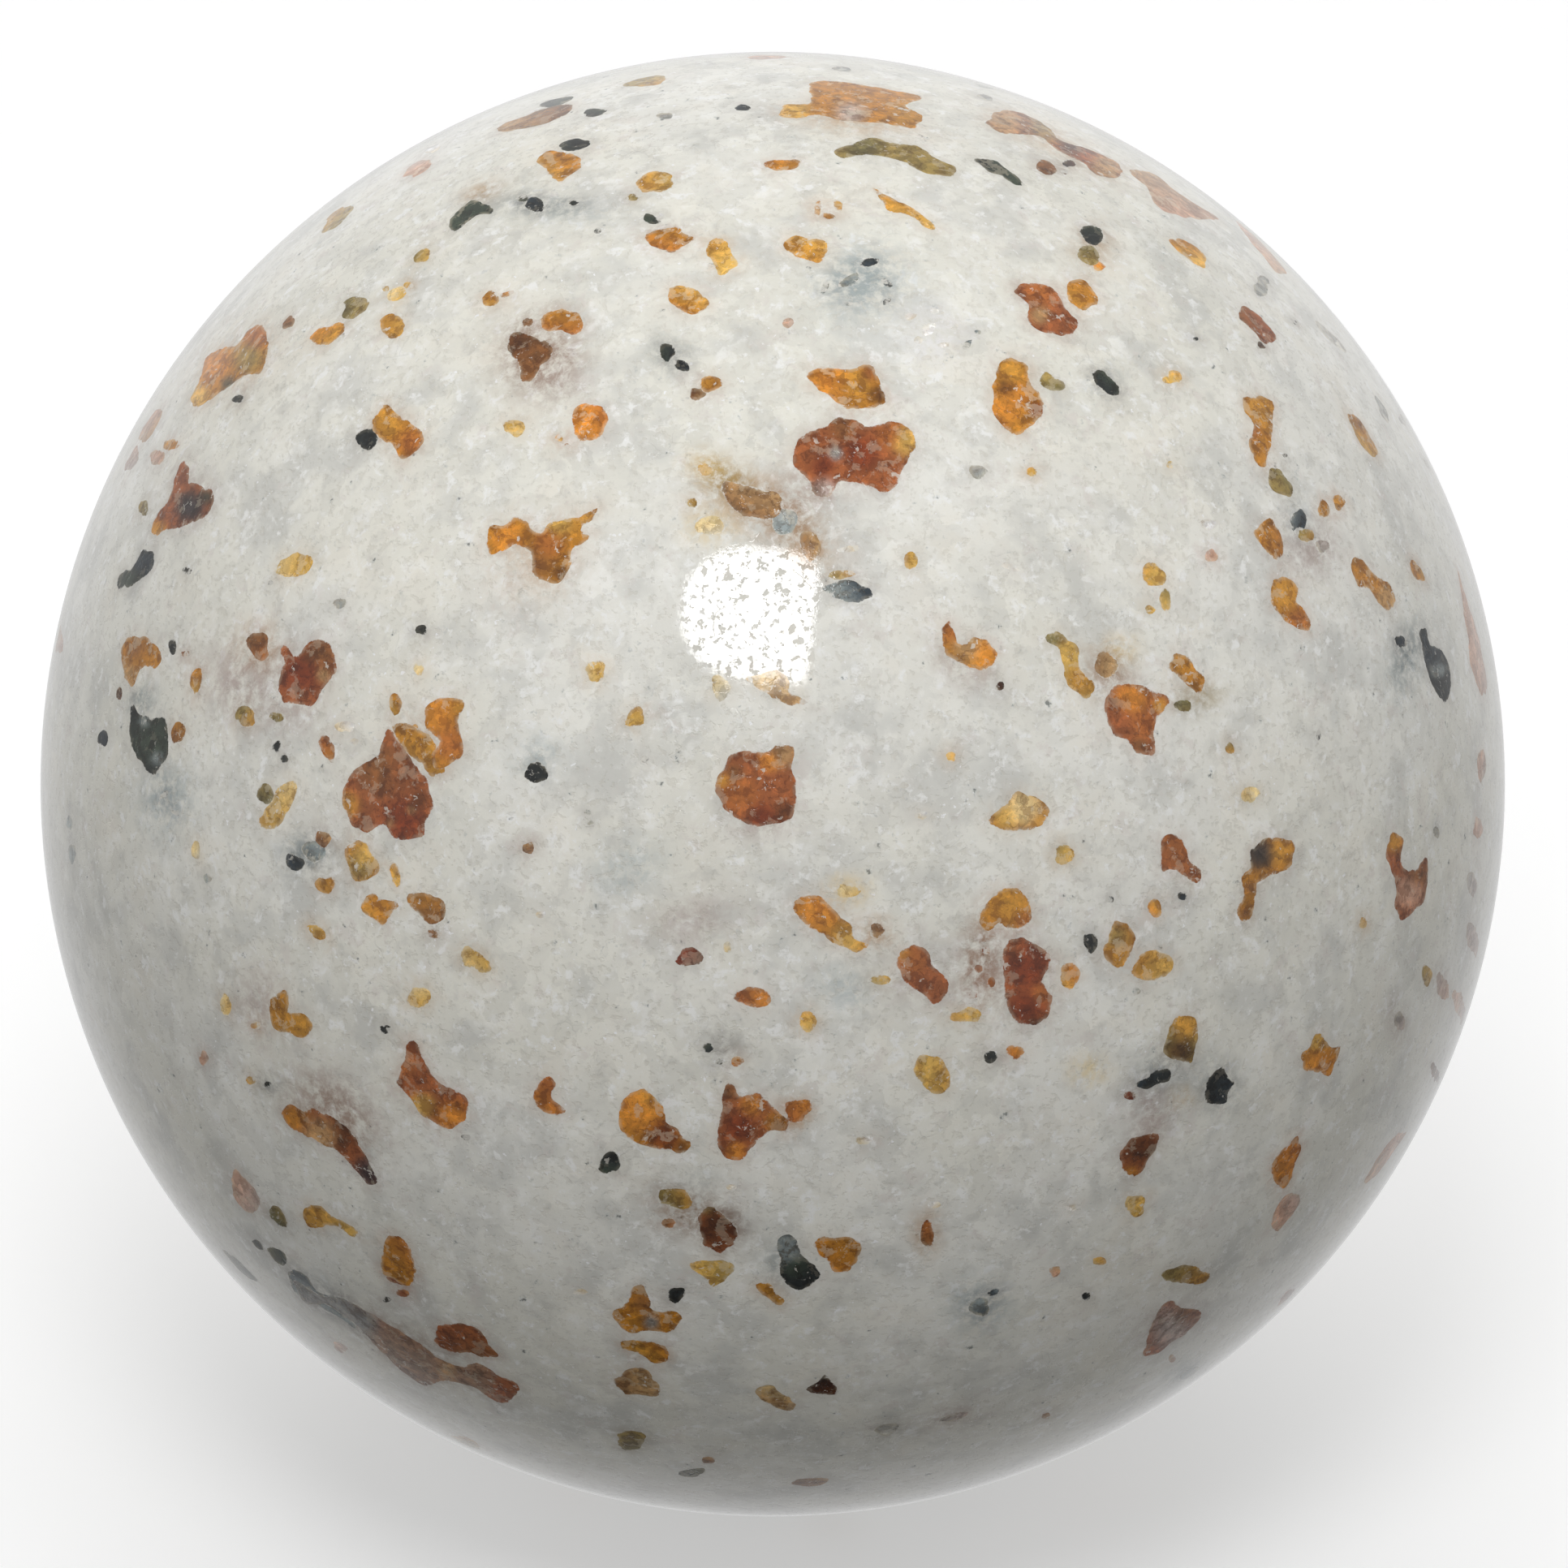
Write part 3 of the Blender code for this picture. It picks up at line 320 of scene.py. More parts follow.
# Small crystals with an outline of their own: tint, then corners (right, up).
OUTLINES = [
    ("gold", [(-14.7, 2.2), (-14.05, 2.4), (-13.3, 1.9), (-12.8, 1.2), (-12.5, 0.45), (-13.1, 0.25),
        (-13.5, 0.8), (-14.2, 1.35)]),
    ("steel", [(-18.76, -18.85), (-18.1, -19.0), (-17.6, -19.7), (-16.6, -19.95), (-16.1, -20.5),
        (-16.2, -21.1), (-16.8, -20.7), (-17.7, -20.2), (-18.3, -19.95), (-18.7, -19.5)]),
    ("brown", [(-10.0, 17.4), (-9.2, 17.2), (-8.6, 17.0), (-8.4, 16.6), (-8.9, 16.1), (-9.2, 15.6),
        (-9.6, 15.5), (-9.9, 16.2), (-10.3, 16.9)]),
    ("tan", [(-1.9, 11.6), (-1.2, 11.5), (-0.6, 11.4), (0.2, 11.1), (0.3, 10.5), (-0.2, 10.1),
        (-1.2, 10.3), (-1.8, 10.9)]),
    ("green", [(-12.45, 21.8), (-11.7, 22.6), (-10.85, 22.35), (-10.85, 22.0), (-11.4, 21.95),
        (-12.3, 21.4)]),
    ("amber", [(-9.15, 24.1), (-8.8, 24.5), (-8.1, 24.45), (-7.5, 24.3), (-7.4, 23.9), (-7.8, 23.6),
        (-8.2, 23.25), (-8.6, 23.5), (-8.9, 23.8)]),
    ("amber", [(-4.95, 21.2), (-4.4, 21.45), (-3.8, 21.5), (-3.4, 21.2), (-2.95, 21.05), (-3.4, 20.75),
        (-3.9, 20.45), (-4.4, 20.6), (-4.8, 20.9)]),
    ("yellow", [(-2.6, 20.6), (-2.35, 21.05), (-1.9, 21.0), (-1.6, 20.6), (-1.35, 20.0), (-1.7, 19.75),
        (-2.1, 19.6), (-2.3, 20.1)]),
    ("amber", [(-4.0, 19.1), (-3.3, 19.2), (-2.8, 19.0), (-2.4, 18.6), (-2.7, 18.2), (-3.1, 18.05),
        (-3.6, 18.3), (-3.9, 18.6)]),
    ("gold", [(0.4, 20.8), (0.9, 21.1), (1.4, 20.95), (1.9, 20.95), (2.15, 20.6), (1.8, 20.1),
        (1.3, 20.15), (0.8, 20.3)]),
    ("gold", [(3.9, 23.0), (4.4, 22.7), (5.0, 22.45), (5.6, 22.2), (6.1, 21.8), (6.3, 21.4),
        (6.0, 21.45), (5.5, 21.8), (5.0, 21.95), (4.5, 22.1), (4.2, 22.5)]),
    ("green", [(7.8, 24.2), (8.6, 24.15), (9.1, 23.8), (9.8, 23.2), (9.5, 23.15), (8.9, 23.5),
        (8.3, 23.7)]),
    ("orange", [(-7.6, 14.4), (-7.1, 14.65), (-6.6, 14.5), (-6.3, 14.1), (-6.4, 13.6), (-6.8, 13.2),
        (-7.4, 13.2), (-7.7, 13.7)]),
    ("amber", [(-8.9, 17.6), (-8.8, 18.1), (-8.2, 18.35), (-7.6, 18.1), (-7.2, 17.7), (-7.6, 17.3),
        (-8.2, 17.4)]),
    ("pink", [(13.9, 23.8), (14.8, 23.75), (15.6, 23.1), (16.5, 22.5), (17.3, 22.0), (16.7, 21.95),
        (15.9, 22.0), (15.2, 22.2), (14.7, 22.7), (14.6, 23.1)]),
    ("pink", [(18.0, 22.0), (18.8, 21.3), (19.4, 20.7), (20.0, 19.9), (19.6, 19.85), (19.0, 20.6),
        (18.5, 21.2)]),
    ("amber", [(11.35, 18.9), (11.4, 19.4), (11.9, 19.5), (12.4, 19.1), (12.5, 18.6), (12.0, 18.3),
        (11.6, 18.5)]),
    ("rust", [(18.0, 18.1), (18.3, 18.5), (18.8, 18.2), (19.3, 17.7), (19.5, 17.2), (19.1, 17.0),
        (18.7, 17.4), (18.3, 17.8)]),
    ("black", [(12.3, 15.85), (12.8, 15.9), (13.25, 15.4), (13.3, 15.0), (12.9, 15.0), (12.5, 15.4)]),
    ("amber", [(22.3, 14.3), (22.7, 14.2), (23.2, 13.4), (23.5, 12.8), (23.2, 12.75), (22.8, 13.2),
        (22.5, 13.7)]),
    ("amber", [(18.5, 9.7), (19.2, 10.2), (19.6, 9.6), (19.7, 9.0), (19.4, 8.6), (19.0, 9.1)]),
    ("amber", [(-15.8, -4.5), (-15.4, -4.15), (-15.0, -4.4), (-14.4, -4.6), (-14.6, -5.0), (-15.0, -5.5),
        (-15.4, -5.2), (-15.8, -4.9)]),
    ("amber", [(-14.0, -4.3), (-13.5, -4.2), (-12.9, -4.3), (-12.6, -4.8), (-12.7, -5.3), (-13.2, -5.4),
        (-13.7, -5.0)]),
    ("yellow", [(-19.7, -1.3), (-19.3, -0.6), (-19.0, -0.1), (-18.4, 0.1), (-18.3, -0.5), (-18.7, -1.2),
        (-19.2, -1.7), (-19.7, -1.6)]),
    ("gold", [(-19.3, -8.2), (-18.8, -7.9), (-18.6, -8.3), (-18.7, -8.8), (-18.1, -8.9), (-17.75, -9.3),
        (-18.1, -9.8), (-18.6, -9.6), (-19.2, -9.5), (-19.4, -8.9)]),
    ("tan", [(-1.0, 4.1), (0.2, 4.3), (0.6, 3.9), (0.7, 3.4), (1.3, 3.15), (0.8, 3.05), (0.1, 3.2),
        (-0.6, 3.7)]),
    ("ink", [(1.9, 7.5), (2.4, 7.7), (3.1, 7.75), (3.7, 7.5), (3.85, 7.25), (3.4, 7.0), (2.6, 7.05)]),
    ("amber", [(15.2, 4.5), (15.4, 5.05), (15.9, 4.9), (16.3, 4.4), (16.6, 4.0), (16.4, 3.5),
        (16.0, 3.8), (15.6, 4.1)]),
    ("copper", [(14.9, -2.5), (15.0, -2.0), (15.5, -1.9), (15.85, -2.4), (16.0, -2.9), (16.5, -3.4),
        (16.3, -3.8), (15.8, -3.6), (15.3, -3.3), (14.95, -3.4)]),
    ("gold", [(13.8, -7.1), (14.1, -6.5), (14.7, -6.3), (15.2, -6.5), (15.5, -6.9), (15.1, -7.4),
        (14.4, -7.55), (13.9, -7.4)]),
    ("orange", [(11.0, -7.2), (11.3, -6.85), (11.7, -7.0), (11.8, -7.5), (11.4, -7.9), (11.1, -7.7)]),
    ("pink", [(26.6, 8.4), (26.9, 7.4), (27.3, 6.2), (27.6, 5.0), (27.8, 3.8), (27.5, 3.5), (27.1, 4.6),
        (27.0, 5.8), (26.8, 7.0)]),
    ("pink", [(-20.8, -14.9), (-20.4, -15.3), (-20.0, -15.8), (-19.9, -16.3), (-20.3, -16.6),
        (-20.8, -16.1), (-20.9, -15.5)]),
    ("yellow", [(-18.1, -16.4), (-17.5, -16.3), (-17.1, -16.7), (-16.5, -16.95), (-16.0, -17.3),
        (-16.2, -17.5), (-16.9, -17.1), (-17.5, -17.2), (-18.0, -17.1)]),
    ("amber", [(-15.1, -18.4), (-15.0, -17.6), (-14.5, -17.4), (-14.0, -17.9), (-13.85, -18.5),
        (-13.8, -19.2), (-14.0, -19.4), (-14.6, -19.2), (-15.1, -18.9)]),
    ("rust", [(-13.1, -21.5), (-12.9, -21.0), (-12.0, -20.9), (-11.3, -21.1), (-10.9, -21.7),
        (-10.6, -22.1), (-11.1, -22.2), (-11.9, -22.0), (-12.6, -21.9)]),
    ("copper", [(-9.25, -12.0), (-9.1, -11.4), (-8.6, -11.2), (-8.3, -11.5), (-8.5, -12.0),
        (-7.9, -12.6), (-8.3, -12.8), (-8.9, -12.6), (-9.2, -12.3)]),
    ("black", [(-6.7, -14.7), (-6.5, -14.2), (-6.1, -14.1), (-5.8, -14.5), (-5.9, -14.9), (-6.2, -14.9),
        (-6.5, -15.0)]),
    ("yellow", [(-3.3, -18.5), (-2.6, -18.3), (-1.9, -18.3), (-1.5, -18.6), (-1.7, -19.0), (-2.3, -19.4),
        (-2.7, -19.0)]),
    ("amber", [(1.5, -17.7), (1.9, -17.4), (2.3, -17.4), (2.9, -17.4), (3.4, -17.8), (3.3, -18.3),
        (2.9, -18.8), (2.4, -18.8), (2.1, -18.4), (1.8, -18.1)]),
    ("gold", [(-0.6, -19.3), (-0.1, -19.2), (0.1, -19.5), (0.5, -19.9), (0.3, -20.1), (-0.1, -19.9),
        (-0.5, -19.6)]),
    ("gold", [(-5.8, -21.5), (-5.0, -21.5), (-4.2, -21.7), (-4.05, -22.2), (-4.6, -22.3), (-5.2, -22.0),
        (-5.8, -21.8)]),
    ("tan", [(-6.1, -23.0), (-5.5, -22.6), (-4.9, -22.6), (-4.5, -23.1), (-4.4, -23.6), (-5.0, -23.6),
        (-5.7, -23.6)]),
    ("tan", [(-0.7, -23.4), (-0.1, -23.2), (0.5, -23.6), (0.9, -24.0), (0.6, -24.25), (0.1, -24.1),
        (-0.4, -23.8)]),
    ("umber", [(1.3, -23.4), (1.8, -23.1), (2.0, -22.8), (2.45, -23.2), (2.5, -23.6), (2.0, -23.6)]),
    ("yellow", [(5.35, -10.9), (5.7, -10.4), (6.3, -10.5), (6.8, -11.1), (6.85, -11.6), (6.4, -11.9),
        (5.8, -11.6)]),
    ("black", [(13.9, -11.6), (14.4, -11.3), (14.8, -11.0), (15.2, -11.0), (15.25, -11.4), (14.8, -11.6),
        (14.4, -11.8)]),
    ("black", [(16.7, -12.2), (16.7, -11.6), (17.0, -11.1), (17.4, -10.85), (17.6, -11.4),
        (17.85, -11.5), (17.6, -11.9), (17.5, -12.3), (17.1, -12.4)]),
    ("orange", [(19.3, -15.1), (19.4, -14.6), (19.8, -14.0), (20.3, -13.6), (20.45, -14.1),
        (20.2, -14.8), (20.0, -15.4), (19.7, -15.7)]),
    ("pink", [(19.3, -17.1), (19.5, -16.5), (19.9, -15.9), (20.4, -15.9), (20.3, -16.5), (19.9, -17.0),
        (19.6, -17.3)]),
]

# Stains in the marble, and one painted highlight: tint, place, length, width, strength and, where
# turned, the turn.
STAINS = [
    ("tan", -11.3, 22.9, 1.6, 0.8, 0.6, 20), ("taupe", -9.1, 16.5, 2.8, 2.8, 0.75),
    ("mauve", -8.3, 15.9, 2.2, 2.0, 0.75), ("blue", 3.4, 19.3, 3.4, 2.8, 0.75),
    # the brightest patch on the next line is a painted highlight, the sparkle of many small cleavage
    # faces
    ("steel", 3.5, 19.5, 2.2, 1.6, 0.65, 10), ("white", 6.1, 17.4, 2.8, 2.4, 0.6, 20),
    ("olive", -1.8, 11.7, 2.2, 1.2, 0.75, -30), ("tan", -0.6, 10.8, 3.6, 2.0, 0.6, -28),
    ("taupe", 0.7, 10.1, 2.0, 1.8, 0.6, -20), ("pale", -2.5, 12.2, 1.4, 0.8, 0.6, -20),
    ("pale", -2.4, 9.8, 1.8, 1.2, 0.5), ("tan", 1.4, 9.0, 1.5, 1.8, 0.5),
    ("tan", -19.8, 5.3, 1.6, 1.5, 0.6), ("mauve", -20.3, 4.0, 3.2, 3.0, 0.85),
    ("blue", -23.4, -0.7, 2.0, 2.6, 0.7), ("steel", -24.4, 3.3, 1.2, 1.4, 0.7),
    ("steel", -23.4, -0.3, 1.2, 1.6, 0.5), ("steel", -17.9, -2.7, 2.0, 1.6, 0.8),
    ("mauve", -19.9, -8.3, 2.0, 2.4, 0.6), ("blue", -9.0, 1.0, 1.8, 1.4, 0.7),
    ("mauve", -3.0, -5.2, 3.2, 1.8, 0.6, 10), ("blue", -5.5, -3.3, 2.6, 1.8, 0.55, 20),
    ("blue", 2.8, -7.8, 2.2, 1.8, 0.6), ("brown", 7.9, -7.1, 1.6, 3.0, 0.6),
    ("brown", 8.1, -6.2, 1.2, 1.2, 0.5), ("tan", 4.0, -5.7, 1.4, 1.0, 0.5),
    ("pale", 2.9, -4.1, 1.6, 1.1, 0.5), ("olive", 16.5, 3.4, 1.6, 1.0, 0.6),
    ("pale", 13.4, 5.2, 1.3, 1.0, 0.55), ("taupe", 13.0, 4.4, 1.6, 1.6, 0.7),
    ("steel", 24.5, 4.8, 1.3, 3.0, 0.8, -15), ("mauve", 20.8, 9.0, 2.2, 1.9, 0.8),
    ("blue", 20.3, 10.2, 1.2, 1.8, 0.5), ("mauve", 24.2, -9.2, 0.9, 2.0, 0.5, 15),
    ("taupe", -16.9, -12.6, 3.4, 1.6, 0.65, -38), ("mauve", -16.8, -12.2, 3.6, 2.2, 0.6, -35),
    ("steel", -19.5, -11.6, 1.2, 0.8, 0.5), ("grey", -1.8, -10.0, 1.9, 1.5, 0.7),
    ("taupe", -3.2, -16.4, 3.2, 1.8, 0.7, -25), ("umber", -1.7, -16.9, 1.5, 1.8, 0.5),
    ("blue", -3.0, -15.3, 1.6, 0.9, 0.5), ("tan", 0.9, -12.7, 1.2, 1.4, 0.6),
    ("mauve", 14.6, -12.6, 1.8, 2.2, 0.8), ("steel", 15.0, -11.1, 2.2, 1.6, 0.6),
    ("blue", 8.0, -20.1, 2.2, 2.0, 0.8), ("pale", 12.2, -11.0, 1.6, 1.1, 0.55),
    ("yellow", 15.8, -12.1, 0.8, 0.7, 0.5), ("mauve", 15.4, -20.9, 3.0, 1.6, 0.5, 20),
    ("steel", 16.0, -22.8, 1.6, 0.8, 0.5, 30), ("taupe", -14.2, -21.9, 4.6, 1.5, 0.6, -30),
    ("steel", -17.2, -19.9, 3.0, 1.2, 0.5, -38), ("tan", 5.9, -17.3, 1.0, 1.8, 0.5),
    ("mauve", 7.0, -24.5, 2.4, 1.0, 0.5, 15), ("grey", 4.4, -25.0, 2.0, 1.2, 0.5, 10),
    ("tan", 3.0, 25.6, 4.5, 1.0, 0.45, -8), ("tan", 11.0, 24.9, 5.0, 1.2, 0.4, -25),
    ("mauve", 1.6, 11.4, 2.8, 1.6, 0.75, 10), ("mauve", 7.3, 4.5, 2.4, 1.4, 0.6, -30),
    ("blue", -14.0, -1.2, 2.4, 1.6, 0.45), ("mauve", -18.2, 2.5, 2.2, 1.2, 0.5),
    ("mauve", -22.5, 11.4, 2.0, 2.6, 0.45, 30), ("tan", -9.2, 8.4, 3.6, 3.0, 0.3, 30),
    ("steel", 0.2, -18.4, 1.4, 2.0, 0.5), ("tan", -21.0, 16.3, 3.4, 2.4, 0.3, 45),
    ("mauve", -0.6, -1.6, 2.6, 1.2, 0.5), ("tan", 12.4, 20.8, 1.6, 1.8, 0.4, -40),
    ("steel", 12.8, 15.4, 1.4, 1.4, 0.45, -40), ("steel", -4.0, 16.5, 1.6, 1.4, 0.45, -30),
    ("steel", -8.6, 22.3, 4.6, 1.1, 0.6, -6), ("steel", 17.2, -11.7, 1.8, 2.0, 0.45),
    ("mauve", 5.6, -7.4, 2.2, 2.6, 0.45, -30),
]

# ---------------------------------------------------------------- sizes and amounts
SEED = 7
MARBLE_STEP = 0.46        # mm between points of the marble's surface
CRYSTAL_STEP = 0.17       # mm between points inside a crystal
OUTLINE_STEP = 0.14       # mm between points of an outline
OUTLINE_CLEARANCE = 0.17  # mm from an outline to the marble's nearest other points
ROW_STEP = 0.866          # rows of a triangular grid, as a share of its step
CORNER_PULL = 0.85        # 1 rounds an outline's corners fully, 0 leaves them sharp
ROUGHNESS_OF_OUTLINE = ((1.1, 0.045), (0.5, 0.060), (0.25, 0.045))  # wavelength, reach in mm
EDGE_WIDTH = 0.4          # mm over which a crystal's edge differs from its middle
HALO_WIDTH = 0.38         # mm over which a crystal stains the marble round it
HALO_STRENGTH = (0.10, 0.36)
BOWL_SLOPE = 0.8          # depth of a crystal per mm in from its edge
BOWL_DEEPEST = 1.4
BOWL_LEAST = 0.05
POLE_RING = 0.6           # mm from the pole to the last ring of points
POLE_RING_POINTS = 16
HIDDEN_SMALL_CRYSTALS = 300
HIDDEN_SHORTEST, HIDDEN_EXTRA, HIDDEN_LONGEST = 0.5, 0.72, 3.6    # mm; the second is an average
HIDDEN_GAP = 0.25         # mm kept free between hidden crystals
HIDDEN_STAINS = 120
SAME_POINT = 0.002        # mm between CAD points that count as one
ON_SURFACE = 0.06         # mm from the ball's surface that counts as on it
STRAIGHT = 4.0            # degrees of turn below which a CAD outline's corner is left out
rng = np.random.default_rng(SEED)


def unit(vectors):
    return vectors / np.linalg.norm(vectors, axis=-1, keepdims=True)


def wave(length, wavelength, count):
    """Smooth closed noise from -1 to 1 at count places along a line of some length."""
    knots = max(3, int(round(length / wavelength)))
    values = rng.uniform(-1.0, 1.0, knots)
    place = np.arange(count) / count * knots
    first = place.astype(int) % knots
    part = place - np.floor(place)
    part = part * part * (3.0 - 2.0 * part)
    return values[first] * (1.0 - part) + values[(first + 1) % knots] * part


def smooth_loop(corners):
    """A closed curve through corners, as points at even steps."""
    corners = np.asarray(corners, float)
    after = np.roll(corners, -1, 0)
    slope = (after - np.roll(corners, 1, 0)) / 2 * CORNER_PULL
    next_slope = np.roll(slope, -1, 0)
    fine = []
    for t in np.linspace(0.0, 1.0, 12, endpoint=False):
        fine.append((2 * t ** 3 - 3 * t ** 2 + 1) * corners + (t ** 3 - 2 * t ** 2 + t) * slope
                    + (3 * t ** 2 - 2 * t ** 3) * after + (t ** 3 - t ** 2) * next_slope)
    fine = np.stack(fine, 1).reshape(-1, 2)
    steps = np.linalg.norm(np.roll(fine, -1, 0) - fine, axis=1)
    total = steps.sum()
    count = max(12, int(round(total / OUTLINE_STEP)))
    walked = np.concatenate([[0.0], np.cumsum(steps)])
    closed = np.vstack([fine, fine[:1]])
    wanted = np.arange(count) / count * total
    return np.stack([np.interp(wanted, walked, closed[:, i]) for i in (0, 1)], 1), total


def roughened(loop, length, size):
    """A closed outline with the small irregularity of a real crystal's edge."""
    along = unit(np.roll(loop, -1, 0) - np.roll(loop, 1, 0))
    outwards = np.stack([along[:, 1], -along[:, 0]], 1)
    reach = sum(height * wave(length, step, len(loop)) for step, height in ROUGHNESS_OF_OUTLINE)
    return loop + outwards * (reach * min(1.0, size / 1.05))[:, None]


def area_of(loop):
    following = np.roll(loop, -1, 0)
    return 0.5 * (loop[:, 0] * following[:, 1] - following[:, 0] * loop[:, 1]).sum()


def inside(points, loop):
    """Which points lie in a closed outline."""
    result = np.zeros(len(points), bool)
    for a, b in zip(loop, np.roll(loop, -1, 0)):
        crosses = (a[1] > points[:, 1]) != (b[1] > points[:, 1])
        if crosses.any():
            reach = a[0] + (points[:, 1] - a[1]) * (b[0] - a[0]) / (b[1] - a[1] + 1e-15)
            result ^= crosses & (points[:, 0] < reach)
    return result


def turned(degrees=0.0):
    """Matrix that turns flat rows of points anticlockwise."""
    c, s = math.cos(math.radians(degrees)), math.sin(math.radians(degrees))
    return np.array([[c, s], [-s, c]])


def oval(length, width, turn=0.0, uneven=1.0):
    """Corners of an uneven oval about (0, 0)."""
    count = int(min(13, max(7, round(6 + 3 * length))))
    angle = np.arange(count) / count * math.tau
    reach = 0.08 * np.cos(2 * angle + rng.uniform(0, math.tau)) \
        + 0.09 * np.cos(3 * angle + rng.uniform(0, math.tau)) + rng.uniform(-0.11, 0.11, count)
    reach = 1.0 + uneven * reach
    flat = np.stack([reach * length / 2 * np.cos(angle), reach * width / 2 * np.sin(angle)], 1)
    return flat @ turned(turn)


class Crystal:
    """One crystal's place on the ball, with its outline as a flat loop in mm."""

    def __init__(self, tint, corners, node=None):
        corners = unit(np.asarray(corners, float))
        self.tint, self.node = tint, node
        self.middle = unit(corners.sum(0))
        self.side, self.up = tangents(self.middle)
        flat = self.flatten(corners)
        if area_of(flat) < 0:
            flat = flat[::-1]
        loop, length = smooth_loop(flat)
        size = math.sqrt(abs(area_of(loop)))
        self.loop = roughened(loop, length, size)
        self.reach = np.linalg.norm(self.loop, axis=1).max()

    def flatten(self, directions):
        """Directions in this crystal's tangent plane, in mm."""
        depth = directions @ self.middle
        return np.stack([directions @ self.side, directions @ self.up], -1) \
            / depth[..., None] * FULL_RADIUS_MM

    def lift(self, flat):
        """Flat places in this crystal's tangent plane as unit directions."""
        return unit(self.middle * FULL_RADIUS_MM + flat[:, :1] * self.side + flat[:, 1:] * self.up)

    def near(self, directions, margin):
        """Which directions come within a margin of the crystal, in mm."""
        limit = math.cos(min(1.2, (self.reach + margin) / FULL_RADIUS_MM))
        return np.nonzero(directions @ self.middle > limit)[0]

    def edge_distance(self, flat):
        """How far flat places are from the outline."""
        a, b = self.loop, np.roll(self.loop, -1, 0)
        run = b - a
        best = np.full(len(flat), 1e9)
        for start, step in zip(a, run):
            along = np.clip(((flat - start) @ step) / (step @ step + 1e-15), 0.0, 1.0)
            best = np.minimum(best, np.linalg.norm(flat - start - along[:, None] * step, axis=1))
        return best


def node_outline(node):
    """Corners of a CAD crystal where the round surface ends and its sides begin."""
    mesh = node.data
    place = np.array([v.co for v in mesh.vertices], float) - CENTRE
    key = {}
    same = [key.setdefault(tuple(np.round(p / (SAME_POINT * MM)).astype(int)), i)
            for i, p in enumerate(place)]
    outer = np.linalg.norm(place, axis=1) > RADIUS - ON_SURFACE * MM
    edges = {}
    for face in mesh.polygons:
        corners = [same[i] for i in face.vertices]
        if all(outer[i] for i in corners):
            for a, b in zip(corners, corners[1:] + corners[:1]):
                edges[a, b] = True
    following = {a: b for a, b in edges if (b, a) not in edges}
    start = max(following)
    loop, here = [], start
    while here in following and len(loop) <= len(following):
        loop.append(here)
        here = following[here]
        if here == start:
            break
    corners = unit(place[loop])
    kept = []
    for before, here, after in zip(np.roll(corners, 1, 0), corners, np.roll(corners, -1, 0)):
        turn = np.dot(unit(here - before), unit(after - here))
        if turn < math.cos(math.radians(STRAIGHT)):
            kept.append(here)
    return kept


# ---------------------------------------------------------------- every crystal's place
crystals = []
for name in sorted(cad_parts):
    if name != "marble_body":
        mineral = name.split("_")[0]
        crystals.append(Crystal(mineral, node_outline(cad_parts[name]), name))
large = len(crystals)
for tint, corners in OUTLINES:
    crystals.append(Crystal(tint, on_face(corners)))
for tint, x, y, length, width, *turn in OVALS:
    crystals.append(Crystal(tint, on_face(oval(length, width, *turn) + (x, y))))

# The hidden side carries small crystals and stains of the same kinds and sizes.
# Among them, the brightest crystals and stains are painted highlights, sparkles like those on the face.
HIDDEN_TINTS = ("yellow", "gold", "gold", "amber", "amber", "orange", "copper", "rust", "red",
                "brown", "olive", "moss", "black", "ink", "pink", "grey", "pale", "white")
while len(crystals) < large + len(OUTLINES) + len(OVALS) + HIDDEN_SMALL_CRYSTALS:
    direction = unit(rng.normal(size=3))
    if direction @ FRONT > -0.02 or direction[2] < -0.985:
        continue
    length = min(HIDDEN_LONGEST, HIDDEN_SHORTEST + rng.exponential(HIDDEN_EXTRA))
    corners = oval(length, length * rng.uniform(0.4, 0.9), rng.uniform(0, 180),
                   uneven=rng.uniform(1.0, 2.2))
    room = length * 0.75 + HIDDEN_GAP
    if any(direction @ other.middle > math.cos((other.reach + room) / FULL_RADIUS_MM)
           for other in crystals):
        continue
    side, up = tangents(direction)
    crystals.append(Crystal(rng.choice(HIDDEN_TINTS), direction * FULL_RADIUS_MM
                            + corners[:, :1] * side + corners[:, 1:] * up))

# ---------------------------------------------------------------- points of the surface
count = int(4 * math.pi * FULL_RADIUS_MM ** 2 / (MARBLE_STEP ** 2 * ROW_STEP))
index = np.arange(count) + 0.5
height = 1.0 - 2.0 * index / count
turn = index * math.pi * (3.0 - math.sqrt(5.0))
across = np.sqrt(1.0 - height ** 2)
spread = np.stack([across * np.cos(turn), across * np.sin(turn), height], 1)
spread = unit(spread + rng.normal(scale=0.10 * MARBLE_STEP / FULL_RADIUS_MM, size=spread.shape))
keep = height > -math.cos((POLE_RING + 0.6 * MARBLE_STEP) / FULL_RADIUS_MM)
for crystal in crystals:
    close = crystal.near(spread, 0.3)
    flat = crystal.flatten(spread[close])
    drop = inside(flat, crystal.loop) | (crystal.edge_distance(flat) < OUTLINE_CLEARANCE)
    keep[close[drop]] = False
points = [spread[keep]]

outline_starts = []
total = len(points[0])
for crystal in crystals:
    size = crystal.reach + CRYSTAL_STEP
    row = np.arange(-size, size, CRYSTAL_STEP * ROW_STEP)
    column = np.arange(-size, size, CRYSTAL_STEP)
    grid = np.stack(np.meshgrid(column, row), -1)
    grid[1::2, :, 0] += CRYSTAL_STEP / 2
    grid = grid.reshape(-1, 2) + rng.normal(scale=0.12 * CRYSTAL_STEP, size=(grid.size // 2, 2))
    grid = grid[inside(grid, crystal.loop)]
    grid = grid[crystal.edge_distance(grid) > 0.6 * CRYSTAL_STEP]
    outline_starts.append(total)
    points += [crystal.lift(crystal.loop), crystal.lift(grid)]
    total += len(crystal.loop) + len(grid)
ring_angle = np.arange(POLE_RING_POINTS) / POLE_RING_POINTS * math.tau
